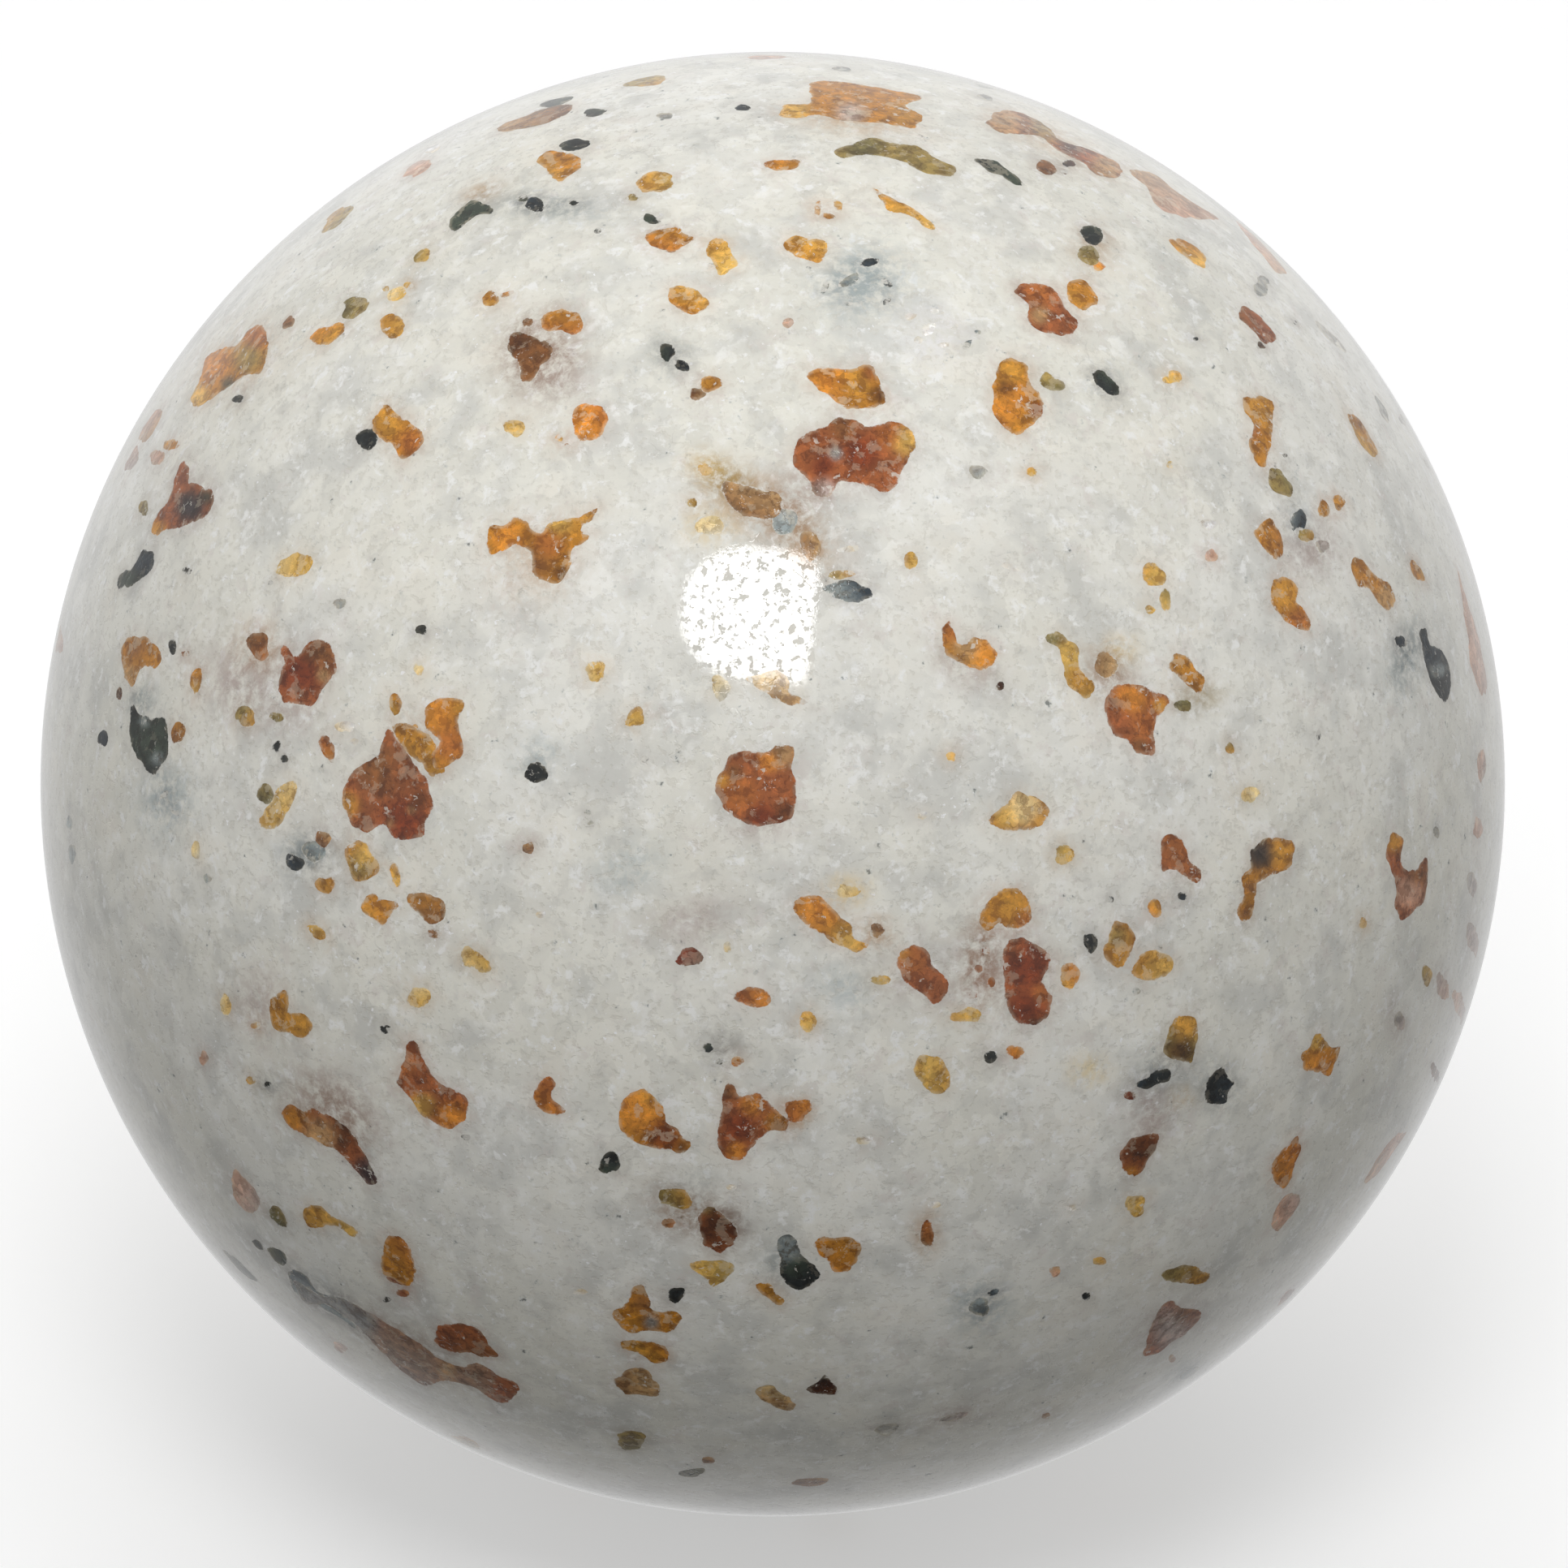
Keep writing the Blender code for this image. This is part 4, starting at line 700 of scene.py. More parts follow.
ring_tilt = POLE_RING / FULL_RADIUS_MM
points.append(np.stack([np.sin(ring_tilt) * np.cos(ring_angle),
                        np.sin(ring_tilt) * np.sin(ring_angle),
                        np.full(POLE_RING_POINTS, -np.cos(ring_tilt))], 1))
points = np.vstack(points)

# Seen from the lowest point, the whole ball unrolls to a flat sheet, which is cut
# into triangles that follow every outline and is then rolled up again.
sheet = points[:, :2] / (1.0 + points[:, 2:])
loops = []
for crystal, start in zip(crystals, outline_starts):
    loop = list(range(start, start + len(crystal.loop)))
    loops.append(loop if area_of(sheet[loop]) > 0 else loop[::-1])
cut = delaunay_2d_cdt([Vector(p) for p in sheet], [], loops, 0, 1e-9)
flat = np.array([tuple(v) for v in cut[0]], float)
square = (flat ** 2).sum(1)
surface = np.stack([2 * flat[:, 0], 2 * flat[:, 1], 1.0 - square], 1) / (1.0 + square)[:, None]
for new, old in enumerate(cut[3]):
    if old:
        surface[new] = points[old[0]]
surface = unit(surface)
triangles = np.array(cut[2], int)
ring = [new for new, old in enumerate(cut[3]) if old and old[0] >= len(points) - POLE_RING_POINTS]
ring.sort(key=lambda i: math.atan2(surface[i][1], surface[i][0]))
pole = len(surface)
surface = np.vstack([surface, (0.0, 0.0, -1.0)])
fan = [(b, a, pole) for a, b in zip(ring, ring[1:] + ring[:1])]
triangles = np.vstack([triangles, np.array(fan, int)])

# Each triangle belongs to the first crystal that holds its middle, or to the marble.
owner = np.full(len(triangles), -1)
middles = unit(surface[triangles].sum(1))
for number, crystal in enumerate(crystals):
    close = crystal.near(middles, 0.05)
    close = close[owner[close] < 0]
    owner[close[inside(crystal.flatten(middles[close]), crystal.loop)]] = number

# ---------------------------------------------------------------- colour of every point
ZONE_KEEPS = 0.18         # how much of a crystal's own tint is left inside its zones
ZONE_NEAR = 6.0           # mm from a crystal's middle at which its zones are looked for
HIDDEN_ZONES = 6
SMALL_SHADES = (0.82, 1.12)    # brightness of small crystals
PARTNERS = {
    "amber": ("gold", "orange", "copper", "yellow", "brown"), "gold": ("yellow", "amber", "orange"),
    "yellow": ("gold", "pale", "olive"), "orange": ("gold", "copper", "yellow"),
    "copper": ("rust", "orange", "amber"), "rust": ("red", "copper", "brown", "orange"),
    "red": ("rust", "umber"), "brown": ("umber", "tan", "copper"), "umber": ("brown", "black"),
    "olive": ("moss", "yellow", "gold"), "moss": ("olive", "green"), "green": ("black", "moss"),
    "black": ("green", "ink", "black"), "ink": ("black", "steel"), "steel": ("grey", "ink"),
    "grey": ("steel", "marble"), "pink": ("mauve", "tan"), "mauve": ("grey", "pink"),
    "blue": ("steel", "grey"), "pale": ("yellow", "marble"), "tan": ("brown", "pale"),
    "taupe": ("tan", "steel"), "white": ("marble", "pale"),
}


def crystal_colours(crystal, directions):
    """Colour of points inside a crystal."""
    tint = crystal.tint
    if crystal.node is None:
        flat = crystal.flatten(directions)
        partner = albedo(PARTNERS[tint][rng.integers(len(PARTNERS[tint]))])
        angle = rng.uniform(0, math.tau)
        along = flat @ (math.cos(angle), math.sin(angle)) / crystal.reach
        share = np.clip(0.5 + 0.9 * (along - rng.uniform(-0.1, 0.5)), 0.0, 1.0)[:, None] * 0.75
        colour = albedo(tint) * (1 - share) + partner * share
        return colour * rng.uniform(*SMALL_SHADES)
    if crystal.middle @ FRONT > 0.05:
        place, _ = face_place(directions)
        zones = [(tone, np.array((x, y)), reach) for tone, x, y, reach in ZONES
                 if np.linalg.norm(place.mean(0) - (x, y)) < ZONE_NEAR]
    else:
        place = crystal.flatten(directions)
        spots = crystal.loop[rng.integers(len(crystal.loop), size=HIDDEN_ZONES)] \
            * rng.uniform(0.1, 0.9, (HIDDEN_ZONES, 1))
        zones = [(PARTNERS[tint][rng.integers(len(PARTNERS[tint]))], spot, rng.uniform(0.3, 0.7))
                 for spot in spots]
    colour = np.tile(albedo(tint) * ZONE_KEEPS, (len(directions), 1))
    weight = np.full(len(directions), ZONE_KEEPS)
    for tone, spot, reach in zones:
        share = np.exp(-1.6 * ((place - spot) ** 2).sum(1) / reach ** 2)
        colour += share[:, None] * albedo(tone)
        weight += share
    return colour / weight[:, None]


# ---------------------------------------------------------------- the pieces' meshes
def rim_of(faces):
    """Points on the border of a set of triangles."""
    edges = np.vstack([faces[:, [0, 1]], faces[:, [1, 2]], faces[:, [2, 0]]])
    keys = {tuple(edge) for edge in edges.tolist()}
    return {a for edge in keys for a in edge if (edge[1], edge[0]) not in keys}


stain_colour = np.zeros((len(surface), 3))
stain_weight = np.zeros(len(surface))
stain_clear = np.ones(len(surface))


def add_stain(where, tint, strength):
    stain_colour[where] += strength[:, None] * (albedo(tint) if isinstance(tint, str) else tint)
    stain_weight[where] += strength
    stain_clear[where] *= 1.0 - strength


place, facing = face_place(surface)
for tint, x, y, length, width, strength, *turn in STAINS:
    offset = (place - (x, y)) @ turned(*turn).T / (length / 2, width / 2)
    share = strength * np.exp(-0.9 * (offset ** 2).sum(1)) * (facing > 0.02)
    where = np.nonzero(share > 0.01)[0]
    add_stain(where, tint, share[where])
# the brightest of these stain tints is a painted highlight, a patch of sparkle
HIDDEN_STAIN_TINTS = ("blue", "mauve", "tan", "steel", "pale", "taupe", "mauve", "white")
for _ in range(HIDDEN_STAINS):
    direction = unit(rng.normal(size=3))
    tint = rng.choice(HIDDEN_STAIN_TINTS)
    reach, strength = rng.uniform(0.7, 2.2), rng.uniform(0.4, 0.8)
    if direction @ FRONT > -0.05:
        continue
    distance = np.arccos(np.clip(surface @ direction, -1, 1)) * FULL_RADIUS_MM
    share = strength * np.exp(-1.2 * (distance / reach) ** 2)
    where = np.nonzero(share > 0.01)[0]
    add_stain(where, tint, share[where])

crystal_shade = []        # for each crystal: faces, points, distances from the edge, colours
for number, crystal in enumerate(crystals):
    faces = triangles[owner == number]
    used = np.unique(faces)
    if not len(used):
        crystal_shade.append(None)
        continue
    distance = crystal.edge_distance(crystal.flatten(surface[used]))
    colour = crystal_colours(crystal, surface[used])
    crystal_shade.append((faces, used, distance, colour))
    close = crystal.near(surface, 1.0)
    away = crystal.edge_distance(crystal.flatten(surface[close]))
    share = rng.uniform(*HALO_STRENGTH) * np.exp(-(away / HALO_WIDTH) ** 2)
    add_stain(close, 0.5 * colour.mean(0) + 0.5 * albedo("mauve"), share)


def make_mesh(name, verts, faces, colours, edge, material):
    """A finished mesh whose shading follows the ball exactly."""
    mesh = bpy.data.meshes.new(name)
    mesh.from_pydata((verts * RADIUS + CENTRE).tolist(), [], faces.tolist())
    tint = mesh.attributes.new("tint", "FLOAT_COLOR", "POINT")
    tint.data.foreach_set("color", colours.astype(np.float32).ravel())
    depth = mesh.attributes.new("edge", "FLOAT", "POINT")
    depth.data.foreach_set("value", edge.astype(np.float32))
    mesh.materials.append(material)
    mesh.shade_smooth()
    mesh.normals_split_custom_set_from_vertices(unit(verts).tolist())
    piece = bpy.data.objects.new(name, mesh)
    bpy.context.scene.collection.objects.link(piece)
    return piece


def bowl(faces, used, distance, rim, first_new):
    """The sunken copy of a crystal's top: its faces, new points, and where each came from."""
    renumber = {}
    new_points, sources = [], []
    for point, deep in zip(used.tolist(), distance):
        if point in rim:
            renumber[point] = point
        else:
            renumber[point] = first_new + len(new_points)
            sink = min(BOWL_DEEPEST, BOWL_SLOPE * deep + BOWL_LEAST)
            new_points.append(surface[point] * (1.0 - sink / FULL_RADIUS_MM))
            sources.append(point)
    made = []
    for a, b, c in faces.tolist():
        corners = (renumber[a], renumber[b], renumber[c])
        if a in rim and b in rim and c in rim:
            middle = unit(surface[[a, b, c]].sum(0)) * (1.0 - 0.03 / FULL_RADIUS_MM)
            centre = first_new + len(new_points)
            new_points.append(middle)
            sources.append(a)
            made += [(corners[i], corners[(i + 1) % 3], centre) for i in range(3)]
        else:
            made.append(corners)
    return made, new_points, sources


def crystal_piece(name, numbers, material):
    """One closed mesh of one or more crystals."""
    verts, faces, colours, edges = [], [], [], []
    for number in numbers:
        own, used, distance, colour = crystal_shade[number]
        rim = rim_of(own)
        local = {point: i for i, point in enumerate(used.tolist())}
        start = sum(len(block) for block in verts)
        sunken, new_points, sources = bowl(own, used, distance, rim, len(surface))
        top = np.array([[local[i] for i in face] for face in own.tolist()])
        low = [[local[i] if i < len(surface) else len(used) + i - len(surface) for i in face]
               for face in sunken]
        faces.append(np.vstack([top, np.array(low)[:, ::-1]]) + start)
        verts.append(np.vstack([surface[used]] + ([np.array(new_points)] if new_points else [])))
        from_old = [local[i] for i in sources]
        shade = np.vstack([colour, colour[from_old]])
        colours.append(np.hstack([shade, np.ones((len(shade), 1))]))
        edge = np.clip(distance / EDGE_WIDTH, 0.0, 1.0)
        edges.append(np.concatenate([edge, edge[from_old]]))
    return make_mesh(name, np.vstack(verts), np.vstack(faces), np.vstack(colours),
                     np.concatenate(edges), material)


def marble_piece(name, material):
    """The marble, with a bowl under every crystal."""
    faces = [triangles[owner < 0]]
    new_points, total = [], len(surface)
    for shade in crystal_shade:
        if shade is None:
            continue
        own, used, distance, _ = shade
        sunken, new, _ = bowl(own, used, distance, rim_of(own), total)
        faces.append(np.array(sunken))
        new_points += new
        total += len(new)
    verts = np.vstack([surface, np.array(new_points)])
    faces = np.vstack(faces)
    used, flat_faces = np.unique(faces, return_inverse=True)
    stain = stain_colour / np.maximum(stain_weight, 1e-6)[:, None]
    stain = np.hstack([stain, 1.0 - stain_clear[:, None]])
    stain = np.vstack([stain, np.zeros((len(verts) - len(surface), 4))])
    return make_mesh(name, verts[used], flat_faces.reshape(-1, 3), stain[used],
                     np.ones(len(used)), material)


# ---------------------------------------------------------------- materials
POLISH_IOR = 1.66


class Shader:
    """A Principled material built from short calls; its coordinates are in mm."""

    def __init__(self, name):
        self.material = bpy.data.materials.new(name)
        self.material.use_nodes = True
        self.tree = self.material.node_tree
        self.principled = self.tree.nodes["Principled BSDF"]
        coordinates = self.tree.nodes.new("ShaderNodeTexCoord").outputs["Object"]
        self.place = self.vector("SCALE", coordinates, scale=1.0 / MM)

    def node(self, kind, **settings):
        made = self.tree.nodes.new("ShaderNode" + kind)
        for key, value in settings.items():
            setattr(made, key, value)
        return made

    def feed(self, socket, value):
        if isinstance(value, bpy.types.NodeSocket):
            self.tree.links.new(value, socket)
        else:
            socket.default_value = value

    def vector(self, operation, first, second=None, scale=None):
        made = self.node("VectorMath", operation=operation)
        self.feed(made.inputs[0], first)
        if second is not None:
            self.feed(made.inputs[1], second)
        if scale is not None:
            self.feed(made.inputs["Scale"], scale)
        return made.outputs[0]

    def noise(self, per_mm, detail=2.0, roughness=0.5, where=None, shift=0.0, colour=False):
        made = self.node("TexNoise")
        place = self.place if where is None else where
        if shift:
            place = self.vector("ADD", place, (shift, shift * 0.7, -shift))
        self.feed(made.inputs["Vector"], place)
        made.inputs["Scale"].default_value = per_mm
        made.inputs["Detail"].default_value = detail
        made.inputs["Roughness"].default_value = roughness
        return made.outputs["Color" if colour else "Fac"]

    def cells(self, per_mm, feature="F1", output="Distance", where=None):
        made = self.node("TexVoronoi", feature=feature)
        self.feed(made.inputs["Vector"], self.place if where is None else where)
        made.inputs["Scale"].default_value = per_mm
        return made.outputs[output]

    def math(self, operation, first, second=0.0, third=0.0, clamp=False):
        made = self.node("Math", operation=operation, use_clamp=clamp)
        for socket, value in zip(made.inputs, (first, second, third)):
            self.feed(socket, value)
        return made.outputs[0]

    def between(self, value, low, high, to_low=0.0, to_high=1.0):
        """Value from low..high mapped smoothly to to_low..to_high."""
        made = self.node("MapRange", interpolation_type="SMOOTHSTEP")
        for socket, item in zip(made.inputs, (value, low, high, to_low, to_high)):
            self.feed(socket, item)
        return made.outputs[0]

    def mix(self, share, first, second, blend="MIX"):
        made = self.node("Mix", data_type="RGBA", blend_type=blend)
        self.feed(made.inputs[0], share)
        for socket, value in ((made.inputs[6], first), (made.inputs[7], second)):
            self.feed(socket, (*value, 1.0) if isinstance(value, tuple) else value)
        return made.outputs[2]

    def attribute(self, name, output="Color"):
        made = self.node("Attribute", attribute_name=name)
        return made.outputs[output]

    def warped(self, per_mm, reach):
        """Coordinates pushed about by noise, so that patterns don't run straight."""
        push = self.vector("SUBTRACT", self.noise(per_mm, 3.0, 0.6, colour=True), (0.5, 0.5, 0.5))
        return self.vector("ADD", self.place, self.vector("SCALE", push, scale=reach))

    def finish(self, colour, roughness, height, bump_mm):
        bump = self.node("Bump")
        bump.inputs["Strength"].default_value = 1.0
        bump.inputs["Distance"].default_value = bump_mm * MM
        self.feed(bump.inputs["Height"], height)
        self.feed(self.principled.inputs["Base Color"], colour)
        self.feed(self.principled.inputs["Roughness"], roughness)
        self.feed(self.principled.inputs["Normal"], bump.outputs["Normal"])
        self.principled.inputs["IOR"].default_value = POLISH_IOR
        return self.material


def marble_material():
    """White marble of interlocking calcite grains, with clouds, stains, hairline cracks, painted sparkle
    highlights and painted shade in its pits.
    """
    s = Shader("polished_marble")
    warped = s.warped(0.7, 0.9)
    cloud = s.noise(0.10, 3.0, 0.55, shift=11.0)
    patch = s.noise(0.30, 3.0, 0.58, where=warped, shift=3.0)
    mottle = s.noise(0.95, 5.0, 0.62, where=warped)
    fine = s.noise(5.5, 3.0, 0.7)
    colour = s.mix(s.between(cloud, 0.38, 0.64), (0.790, 0.775, 0.695), (0.825, 0.815, 0.755))
    colour = s.mix(s.between(patch, 0.48, 0.68, 0.0, 0.70), colour, (0.610, 0.608, 0.572))
    colour = s.mix(s.between(patch, 0.46, 0.30, 0.0, 0.45), colour, (0.825, 0.785, 0.690))
    colour = s.mix(s.between(mottle, 0.53, 0.72, 0.0, 0.50), colour, (0.580, 0.570, 0.525))
    colour = s.mix(s.between(mottle, 0.47, 0.30, 0.0, 0.65), colour, (0.900, 0.895, 0.855))
    colour = s.mix(s.between(fine, 0.54, 0.74, 0.0, 0.16), colour, (0.560, 0.545, 0.490))

    # calcite grains: fuzzy cells a little lighter, darker or pinker than their neighbours
    fuzzy = s.warped(2.6, 0.75)
    grain = s.cells(0.95, output="Color", where=fuzzy)
    shade = s.mix(0.22, (0.985, 0.985, 0.985), grain)
    shade = s.between(shade, 0.72, 1.0, 0.915, 1.055)
    colour = s.mix(1.0, colour, shade, "MULTIPLY")
    blush = s.between(s.noise(0.8, 3.0, 0.6, where=fuzzy, shift=27.0), 0.58, 0.72, 0.0, 0.5)
    colour = s.mix(blush, colour, (0.690, 0.635, 0.590))

    # a few hairlines, milky flecks and dark specks, and bright cleavage sparkles painted into the colour
    # as painted highlights
    border = s.cells(0.85, "DISTANCE_TO_EDGE", where=warped)
    somewhere = s.between(s.noise(0.5, 2.0, 0.5, shift=21.0), 0.60, 0.72)
    crack = s.math("MULTIPLY", s.between(border, 0.030, 0.004), somewhere)
    colour = s.mix(s.math("MULTIPLY", crack, 0.22), colour, (0.40, 0.39, 0.36))
    milky = s.between(s.noise(1.3, 5.0, 0.66, where=warped, shift=51.0), 0.56, 0.67, 0.0, 0.85)
    colour = s.mix(milky, colour, (0.900, 0.900, 0.875))
    # painted highlight: small spots painted near white where cleavage faces would catch the light
    here = s.between(s.noise(0.45, 2.0, 0.5, shift=37.0), 0.44, 0.60, 0.12, 1.0)
    painted_glint = s.between(s.noise(4.0, 2.0, 0.55, shift=63.0), 0.690, 0.715)
    painted_glint = s.math("MULTIPLY", painted_glint, here)
    colour = s.mix(painted_glint, colour, (0.93, 0.93, 0.93))
    murk = s.noise(1.9, 3.0, 0.65, shift=73.0)
    colour = s.mix(s.between(murk, 0.64, 0.72, 0.0, 0.40), colour, (0.40, 0.43, 0.42))
    colour = s.mix(s.between(murk, 0.715, 0.745, 0.0, 0.70), colour, (0.11, 0.12, 0.11))

    # stains, broken up so that they don't look airbrushed
    stain = s.attribute("tint")
    strength = s.attribute("tint", "Alpha")
    broken = s.between(s.noise(1.7, 4.0, 0.7, where=warped, shift=5.0), 0.30, 0.66, 0.15, 1.35)
    strength = s.math("MULTIPLY", strength, broken, clamp=True)
    tone = s.mix(s.between(fine, 0.35, 0.7, 0.0, 0.5), stain, s.mix(0.5, stain, colour, "MULTIPLY"))
    colour = s.mix(strength, colour, tone)

    pit = s.between(s.noise(3.4, 3.0, 0.65, shift=91.0), 0.570, 0.605)
    # painted shade: the colour in the pits is darkened, for the shade in these hollows
    colour = s.mix(s.math("MULTIPLY", pit, 0.30), colour, (0.52, 0.49, 0.42))
    height = s.math("ADD", s.math("MULTIPLY", fine, 0.5), s.math("MULTIPLY", mottle, 0.8))
    height = s.math("SUBTRACT", height, s.math("MULTIPLY", crack, 1.2))
    height = s.math("SUBTRACT", height, s.math("MULTIPLY", pit, 2.2))
    # the pits break the gloss where the surface is seen face on, and close up when seen along it
    slant = s.node("LayerWeight").outputs["Facing"]
    roughness = s.math("MAXIMUM", s.between(mottle, 0.3, 0.75, 0.008, 0.035),
                       s.math("MULTIPLY", pit, s.between(slant, 0.30, 0.62, 0.95, 0.03)))
    return s.finish(colour, roughness, height, 0.0030)


def crystal_material(name, milk, fleck, dark):
    """A tinted crystal: broken into lumps of different depth, milky and chipped in places."""
    s = Shader(name)
    tint = s.attribute("tint")
    edge = s.attribute("edge", "Fac")
    warped = s.warped(2.0, 0.5)
    mottle = s.noise(1.9, 4.0, 0.68, where=warped)
    lumps = s.noise(1.5, 4.0, 0.62, where=s.warped(1.3, 0.7), shift=15.0)
    fine = s.noise(7.5, 3.0, 0.7)
    deep = s.mix(1.0, tint, (0.42, 0.33, 0.25), "MULTIPLY")
    light = s.mix(1.0, tint, (1.34, 1.30, 1.22), "MULTIPLY")
    pale = s.mix(0.5, tint, (0.78, 0.69, 0.52))
    colour = s.mix(s.between(mottle, 0.50, 0.60, 0.0, dark), tint, deep)
    colour = s.mix(s.between(mottle, 0.46, 0.38, 0.0, 0.80), colour, light)
    cell = s.cells(2.2, output="Color", where=warped)
    colour = s.mix(1.0, colour, s.between(cell, 0.0, 1.0, 0.74, 1.22), "MULTIPLY")
    colour = s.mix(s.between(lumps, 0.555, 0.605, 0.0, milk), colour, pale)
    colour = s.mix(s.between(fine, 0.56, 0.74, 0.0, 0.50), colour, deep)
    rim = s.math("MULTIPLY", s.between(edge, 0.50, 0.0),
                 s.between(s.noise(1.9, 2.0, 0.5, shift=9.0), 0.40, 0.62))
    colour = s.mix(s.math("MULTIPLY", rim, milk), colour, s.mix(0.6, tint, (0.76, 0.68, 0.50)))
    dusk = s.math("MULTIPLY", s.between(edge, 0.35, 0.0),
                  s.between(s.noise(1.6, 2.0, 0.5, shift=19.0), 0.48, 0.64))
    colour = s.mix(s.math("MULTIPLY", dusk, 0.3), colour, deep)
    border = s.cells(1.7, "DISTANCE_TO_EDGE", where=warped)
    line = s.math("MULTIPLY", s.between(border, 0.045, 0.010),
                  s.between(s.noise(1.3, 2.0, 0.5, shift=33.0), 0.50, 0.62))
    colour = s.mix(s.math("MULTIPLY", line, 0.45), colour, deep)
    chip = s.between(s.noise(2.7, 3.0, 0.6, where=s.warped(1.1, 1.2), shift=71.0), 0.625, 0.650)
    chip = s.math("MULTIPLY", chip, s.between(s.noise(0.9, 2.0, 0.5, shift=47.0), 0.46, 0.56))
    colour = s.mix(s.math("MULTIPLY", chip, fleck), colour, (0.78, 0.74, 0.66))
    worn = s.math("SUBTRACT", s.math("MULTIPLY", s.noise(3.0, 4.0, 0.7, shift=57.0), 1.5),
                  s.math("MULTIPLY", edge, 1.7))
    colour = s.mix(s.between(worn, 0.60, 0.84, 0.0, 0.80), colour, (0.74, 0.72, 0.66))
    height = s.math("ADD", s.math("MULTIPLY", mottle, 0.8), s.math("MULTIPLY", fine, 0.5))
    height = s.math("SUBTRACT", height, s.math("MULTIPLY", line, 1.2))
    height = s.math("SUBTRACT", height, s.math("MULTIPLY", chip, 0.8))
    roughness = s.between(mottle, 0.3, 0.75, 0.05, 0.12)
    return s.finish(colour, roughness, height, 0.004)


MATERIALS = {
    "marble": marble_material(),
    "amber": crystal_material("amber_crystal", 0.60, 0.65, 0.62),
    "rust": crystal_material("rust_crystal", 0.38, 0.55, 0.66),
    "olive": crystal_material("olive_crystal", 0.45, 0.40, 0.60),
    "black": crystal_material("black_crystal", 0.16, 0.45, 0.75),
    "pale": crystal_material("pale_crystal", 0.55, 0.30, 0.35),
}

# ---------------------------------------------------------------- the pieces
GROUPS = {  # small crystals that are made as one piece: tints, material, record slot
    "small_yellow_grains": (("yellow", "gold"), "amber", "amber"),
    "small_amber_grains": (("amber", "orange"), "amber", "amber"),
    "small_rust_grains": (("copper", "rust", "red"), "rust", "rust"),
    "small_brown_grains": (("brown", "umber", "tan"), "rust", "rust"),
    "small_olive_grains": (("olive", "moss", "green"), "olive", "olive"),
    "small_black_grains": (("black", "ink"), "black", "black"),
    "small_grey_grains": (("grey", "steel", "blue", "mauve", "pink"), "pale", "marble"),
    # the brightest of these grains are painted highlights, sparkling cleavage faces; the pale ones are
    # the grains' own colour
    "small_white_grains": (("white", "pale"), "pale", "marble"),
}


def show(piece, slot, *nodes):
    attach(piece, "root")
    if nodes:
        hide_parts(*nodes)


show(marble_piece("marble_matrix", MATERIALS["marble"]), "marble", "marble_body")
for number in range(large):
    node = crystals[number].node
    mineral = node.split("_")[0]
    piece = crystal_piece(node.replace("crystal", "grain"), [number], MATERIALS[mineral])
    show(piece, mineral, node)
for name, (tints, material, slot) in GROUPS.items():
    numbers = [n for n in range(large, len(crystals))
               if crystals[n].tint in tints and crystal_shade[n] is not None]
    show(crystal_piece(name, numbers, MATERIALS[material]), slot)

# ---------------------------------------------------------------- floor, light and camera
PANEL_ABOVE, PANEL_LEFT = 26.2, 4.1       # degrees from the line of sight
PANEL_WIDE, PANEL_HIGH = 19.6, 20.6       # degrees, as the ball sees it
PANEL_DISTANCE = 0.6
PANEL_STRENGTH = 8.8
PANEL_CORNERS = (0.95, 0.45, 0.15, 1.0)   # radii of its corners, as shares of half its width
CORNER_STEPS = 8
# light of the surroundings by height, from straight below (0) to straight above (1)
AMBIENT = ((0.0, 0.06), (0.25, 0.20), (0.5, 0.48), (1.0, 0.40))
RIM_GLOW = 0.55                           # light of the studio's far wall, behind the ball
RIM_GLOW_FROM = 0.55                      # cosine of the angle at which that light begins
TOP_LIGHT_WATTS, TOP_LIGHT_SIZE = 7.5, 1.6
TOP_LIGHT_PLACE = (0.0, 0.25, 1.2)
FLOOR, FLOOR_GLOW = 4.0, 0.42             # half its width, and its own light
CAMERA_DISTANCE = 1.6
BALL_SHARE = 0.934                        # the ball's share of the picture's width
SHIFT = 0.0072                            # the ball's place left of the middle, likewise


def aim(thing, towards):
    thing.rotation_euler = Vector(towards).to_track_quat("Z", "Y").to_euler()


def plain_material(name, colour, roughness=0.6, glow=0.0):
    made = bpy.data.materials.new(name)
    made.use_nodes = True
    shader = made.node_tree.nodes["Principled BSDF"]
    shader.inputs["Base Color"].default_value = (*colour, 1.0)
    shader.inputs["Roughness"].default_value = roughness
    shader.inputs["Emission Color"].default_value = (1.0, 1.0, 1.0, 1.0)
    shader.inputs["Emission Strength"].default_value = glow
    return made


def add_stage(name, verts, faces, material):
    mesh = bpy.data.meshes.new(name)
    mesh.from_pydata(verts, [], faces)
    mesh.materials.append(material)
    thing = bpy.data.objects.new(name, mesh)
    bpy.context.scene.collection.objects.link(thing)
    return thing


ground = float(body_low.z)
floor = add_stage("floor", [(-FLOOR, -FLOOR, ground), (FLOOR, -FLOOR, ground),
                            (FLOOR, FLOOR, ground), (-FLOOR, FLOOR, ground)], [(0, 1, 2, 3)],
                  plain_material("pale_floor", (0.62, 0.62, 0.62), glow=FLOOR_GLOW))
floor.visible_diffuse = floor.visible_glossy = False

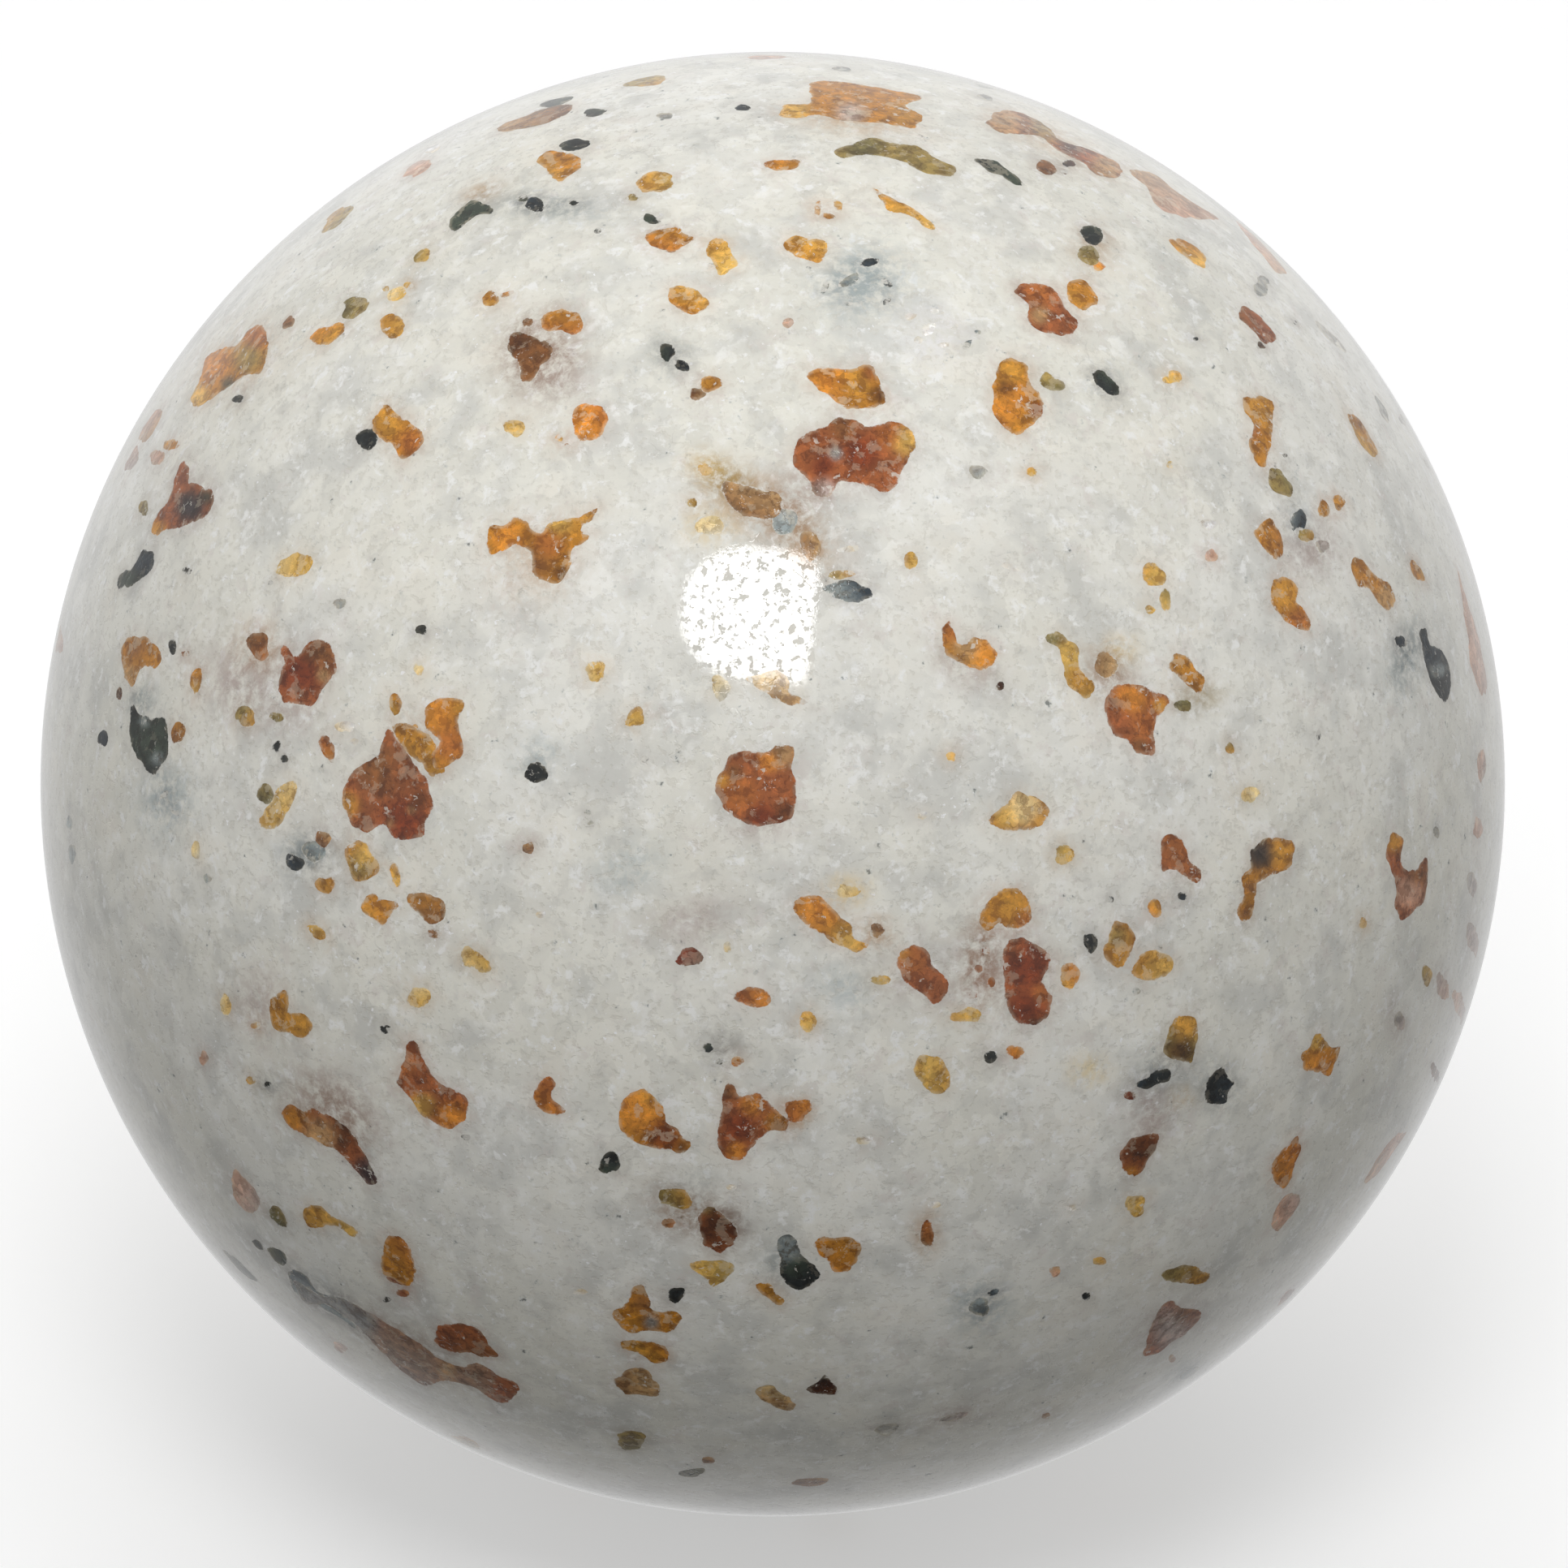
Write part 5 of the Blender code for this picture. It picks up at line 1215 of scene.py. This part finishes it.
# The softbox: a rounded square that shows in the polish as the bright highlight.
above, left = math.radians(PANEL_ABOVE), math.radians(PANEL_LEFT)
towards_panel = unit(FRONT * math.cos(above) * math.cos(left) + RISE * math.sin(above)
                     - RIGHT * math.cos(above) * math.sin(left))
half_wide = PANEL_DISTANCE * math.tan(math.radians(PANEL_WIDE / 2))
half_high = PANEL_DISTANCE * math.tan(math.radians(PANEL_HIGH / 2))
border = []
for x, y, start, share in zip((1, -1, -1, 1), (1, 1, -1, -1), (0, 90, 180, 270), PANEL_CORNERS):
    corner = share * half_wide
    for step in range(CORNER_STEPS + 1):
        angle = math.radians(start + step * 90 / CORNER_STEPS)
        border.append((x * (half_wide - corner) + corner * math.cos(angle),
                       y * (half_high - corner) + corner * math.sin(angle), 0.0))
softbox = add_stage("softbox", border, [tuple(range(len(border)))],
                    plain_material("softbox_glow", (0.8, 0.8, 0.8), glow=PANEL_STRENGTH))
softbox.location = Vector(CENTRE + towards_panel * PANEL_DISTANCE)
aim(softbox, -towards_panel)
softbox.visible_camera = False

top = bpy.data.lights.new("top_light", "AREA")
top.shape, top.size, top.energy = "DISK", TOP_LIGHT_SIZE, TOP_LIGHT_WATTS
top_light = bpy.data.objects.new("top_light", top)
bpy.context.scene.collection.objects.link(top_light)
top_light.location = TOP_LIGHT_PLACE
aim(top_light, TOP_LIGHT_PLACE)
top_light.visible_glossy = False

world = bpy.data.worlds.new("studio")
world.use_nodes = True
tree = world.node_tree
direction = tree.nodes.new("ShaderNodeTexCoord")
parts = tree.nodes.new("ShaderNodeSeparateXYZ")
ramp = tree.nodes.new("ShaderNodeValToRGB")
height = tree.nodes.new("ShaderNodeMapRange")
height.inputs["From Min"].default_value = -1.0
tree.links.new(direction.outputs["Generated"], parts.inputs[0])
tree.links.new(parts.outputs["Z"], height.inputs["Value"])
tree.links.new(height.outputs[0], ramp.inputs["Fac"])
behind = tree.nodes.new("ShaderNodeVectorMath")
behind.operation = "DOT_PRODUCT"
behind.inputs[1].default_value = tuple(-FRONT)
rim = tree.nodes.new("ShaderNodeMapRange")
rim.interpolation_type = "SMOOTHSTEP"
for socket, value in zip(rim.inputs[1:5], (RIM_GLOW_FROM, 1.0, 0.0, RIM_GLOW)):
    socket.default_value = value
both = tree.nodes.new("ShaderNodeMath")
tree.links.new(direction.outputs["Generated"], behind.inputs[0])
tree.links.new(behind.outputs["Value"], rim.inputs["Value"])
tree.links.new(ramp.outputs["Color"], both.inputs[0])
tree.links.new(rim.outputs[0], both.inputs[1])
tree.links.new(both.outputs[0], tree.nodes["Background"].inputs["Color"])
for place, _ in AMBIENT[1:-1]:
    ramp.color_ramp.elements.new(place)
for element, (place, value) in zip(ramp.color_ramp.elements, AMBIENT):
    element.position = place
    element.color = (value, value, value, 1.0)
bpy.context.scene.world = world
bpy.context.scene.view_settings.view_transform = "Standard"

lens = bpy.data.cameras.new("camera")
camera = bpy.data.objects.new("camera", lens)
bpy.context.scene.collection.objects.link(camera)
camera.location = Vector(CENTRE + FRONT * CAMERA_DISTANCE)
aim(camera, FRONT)
lens.sensor_width = 36.0
seen = math.tan(math.asin(RADIUS / CAMERA_DISTANCE))      # half the ball, as the camera sees it
lens.lens = lens.sensor_width / 2 * BALL_SHARE / seen
lens.shift_x = SHIFT
lens.clip_start, lens.clip_end = 0.01, 20.0
bpy.context.scene.camera = camera
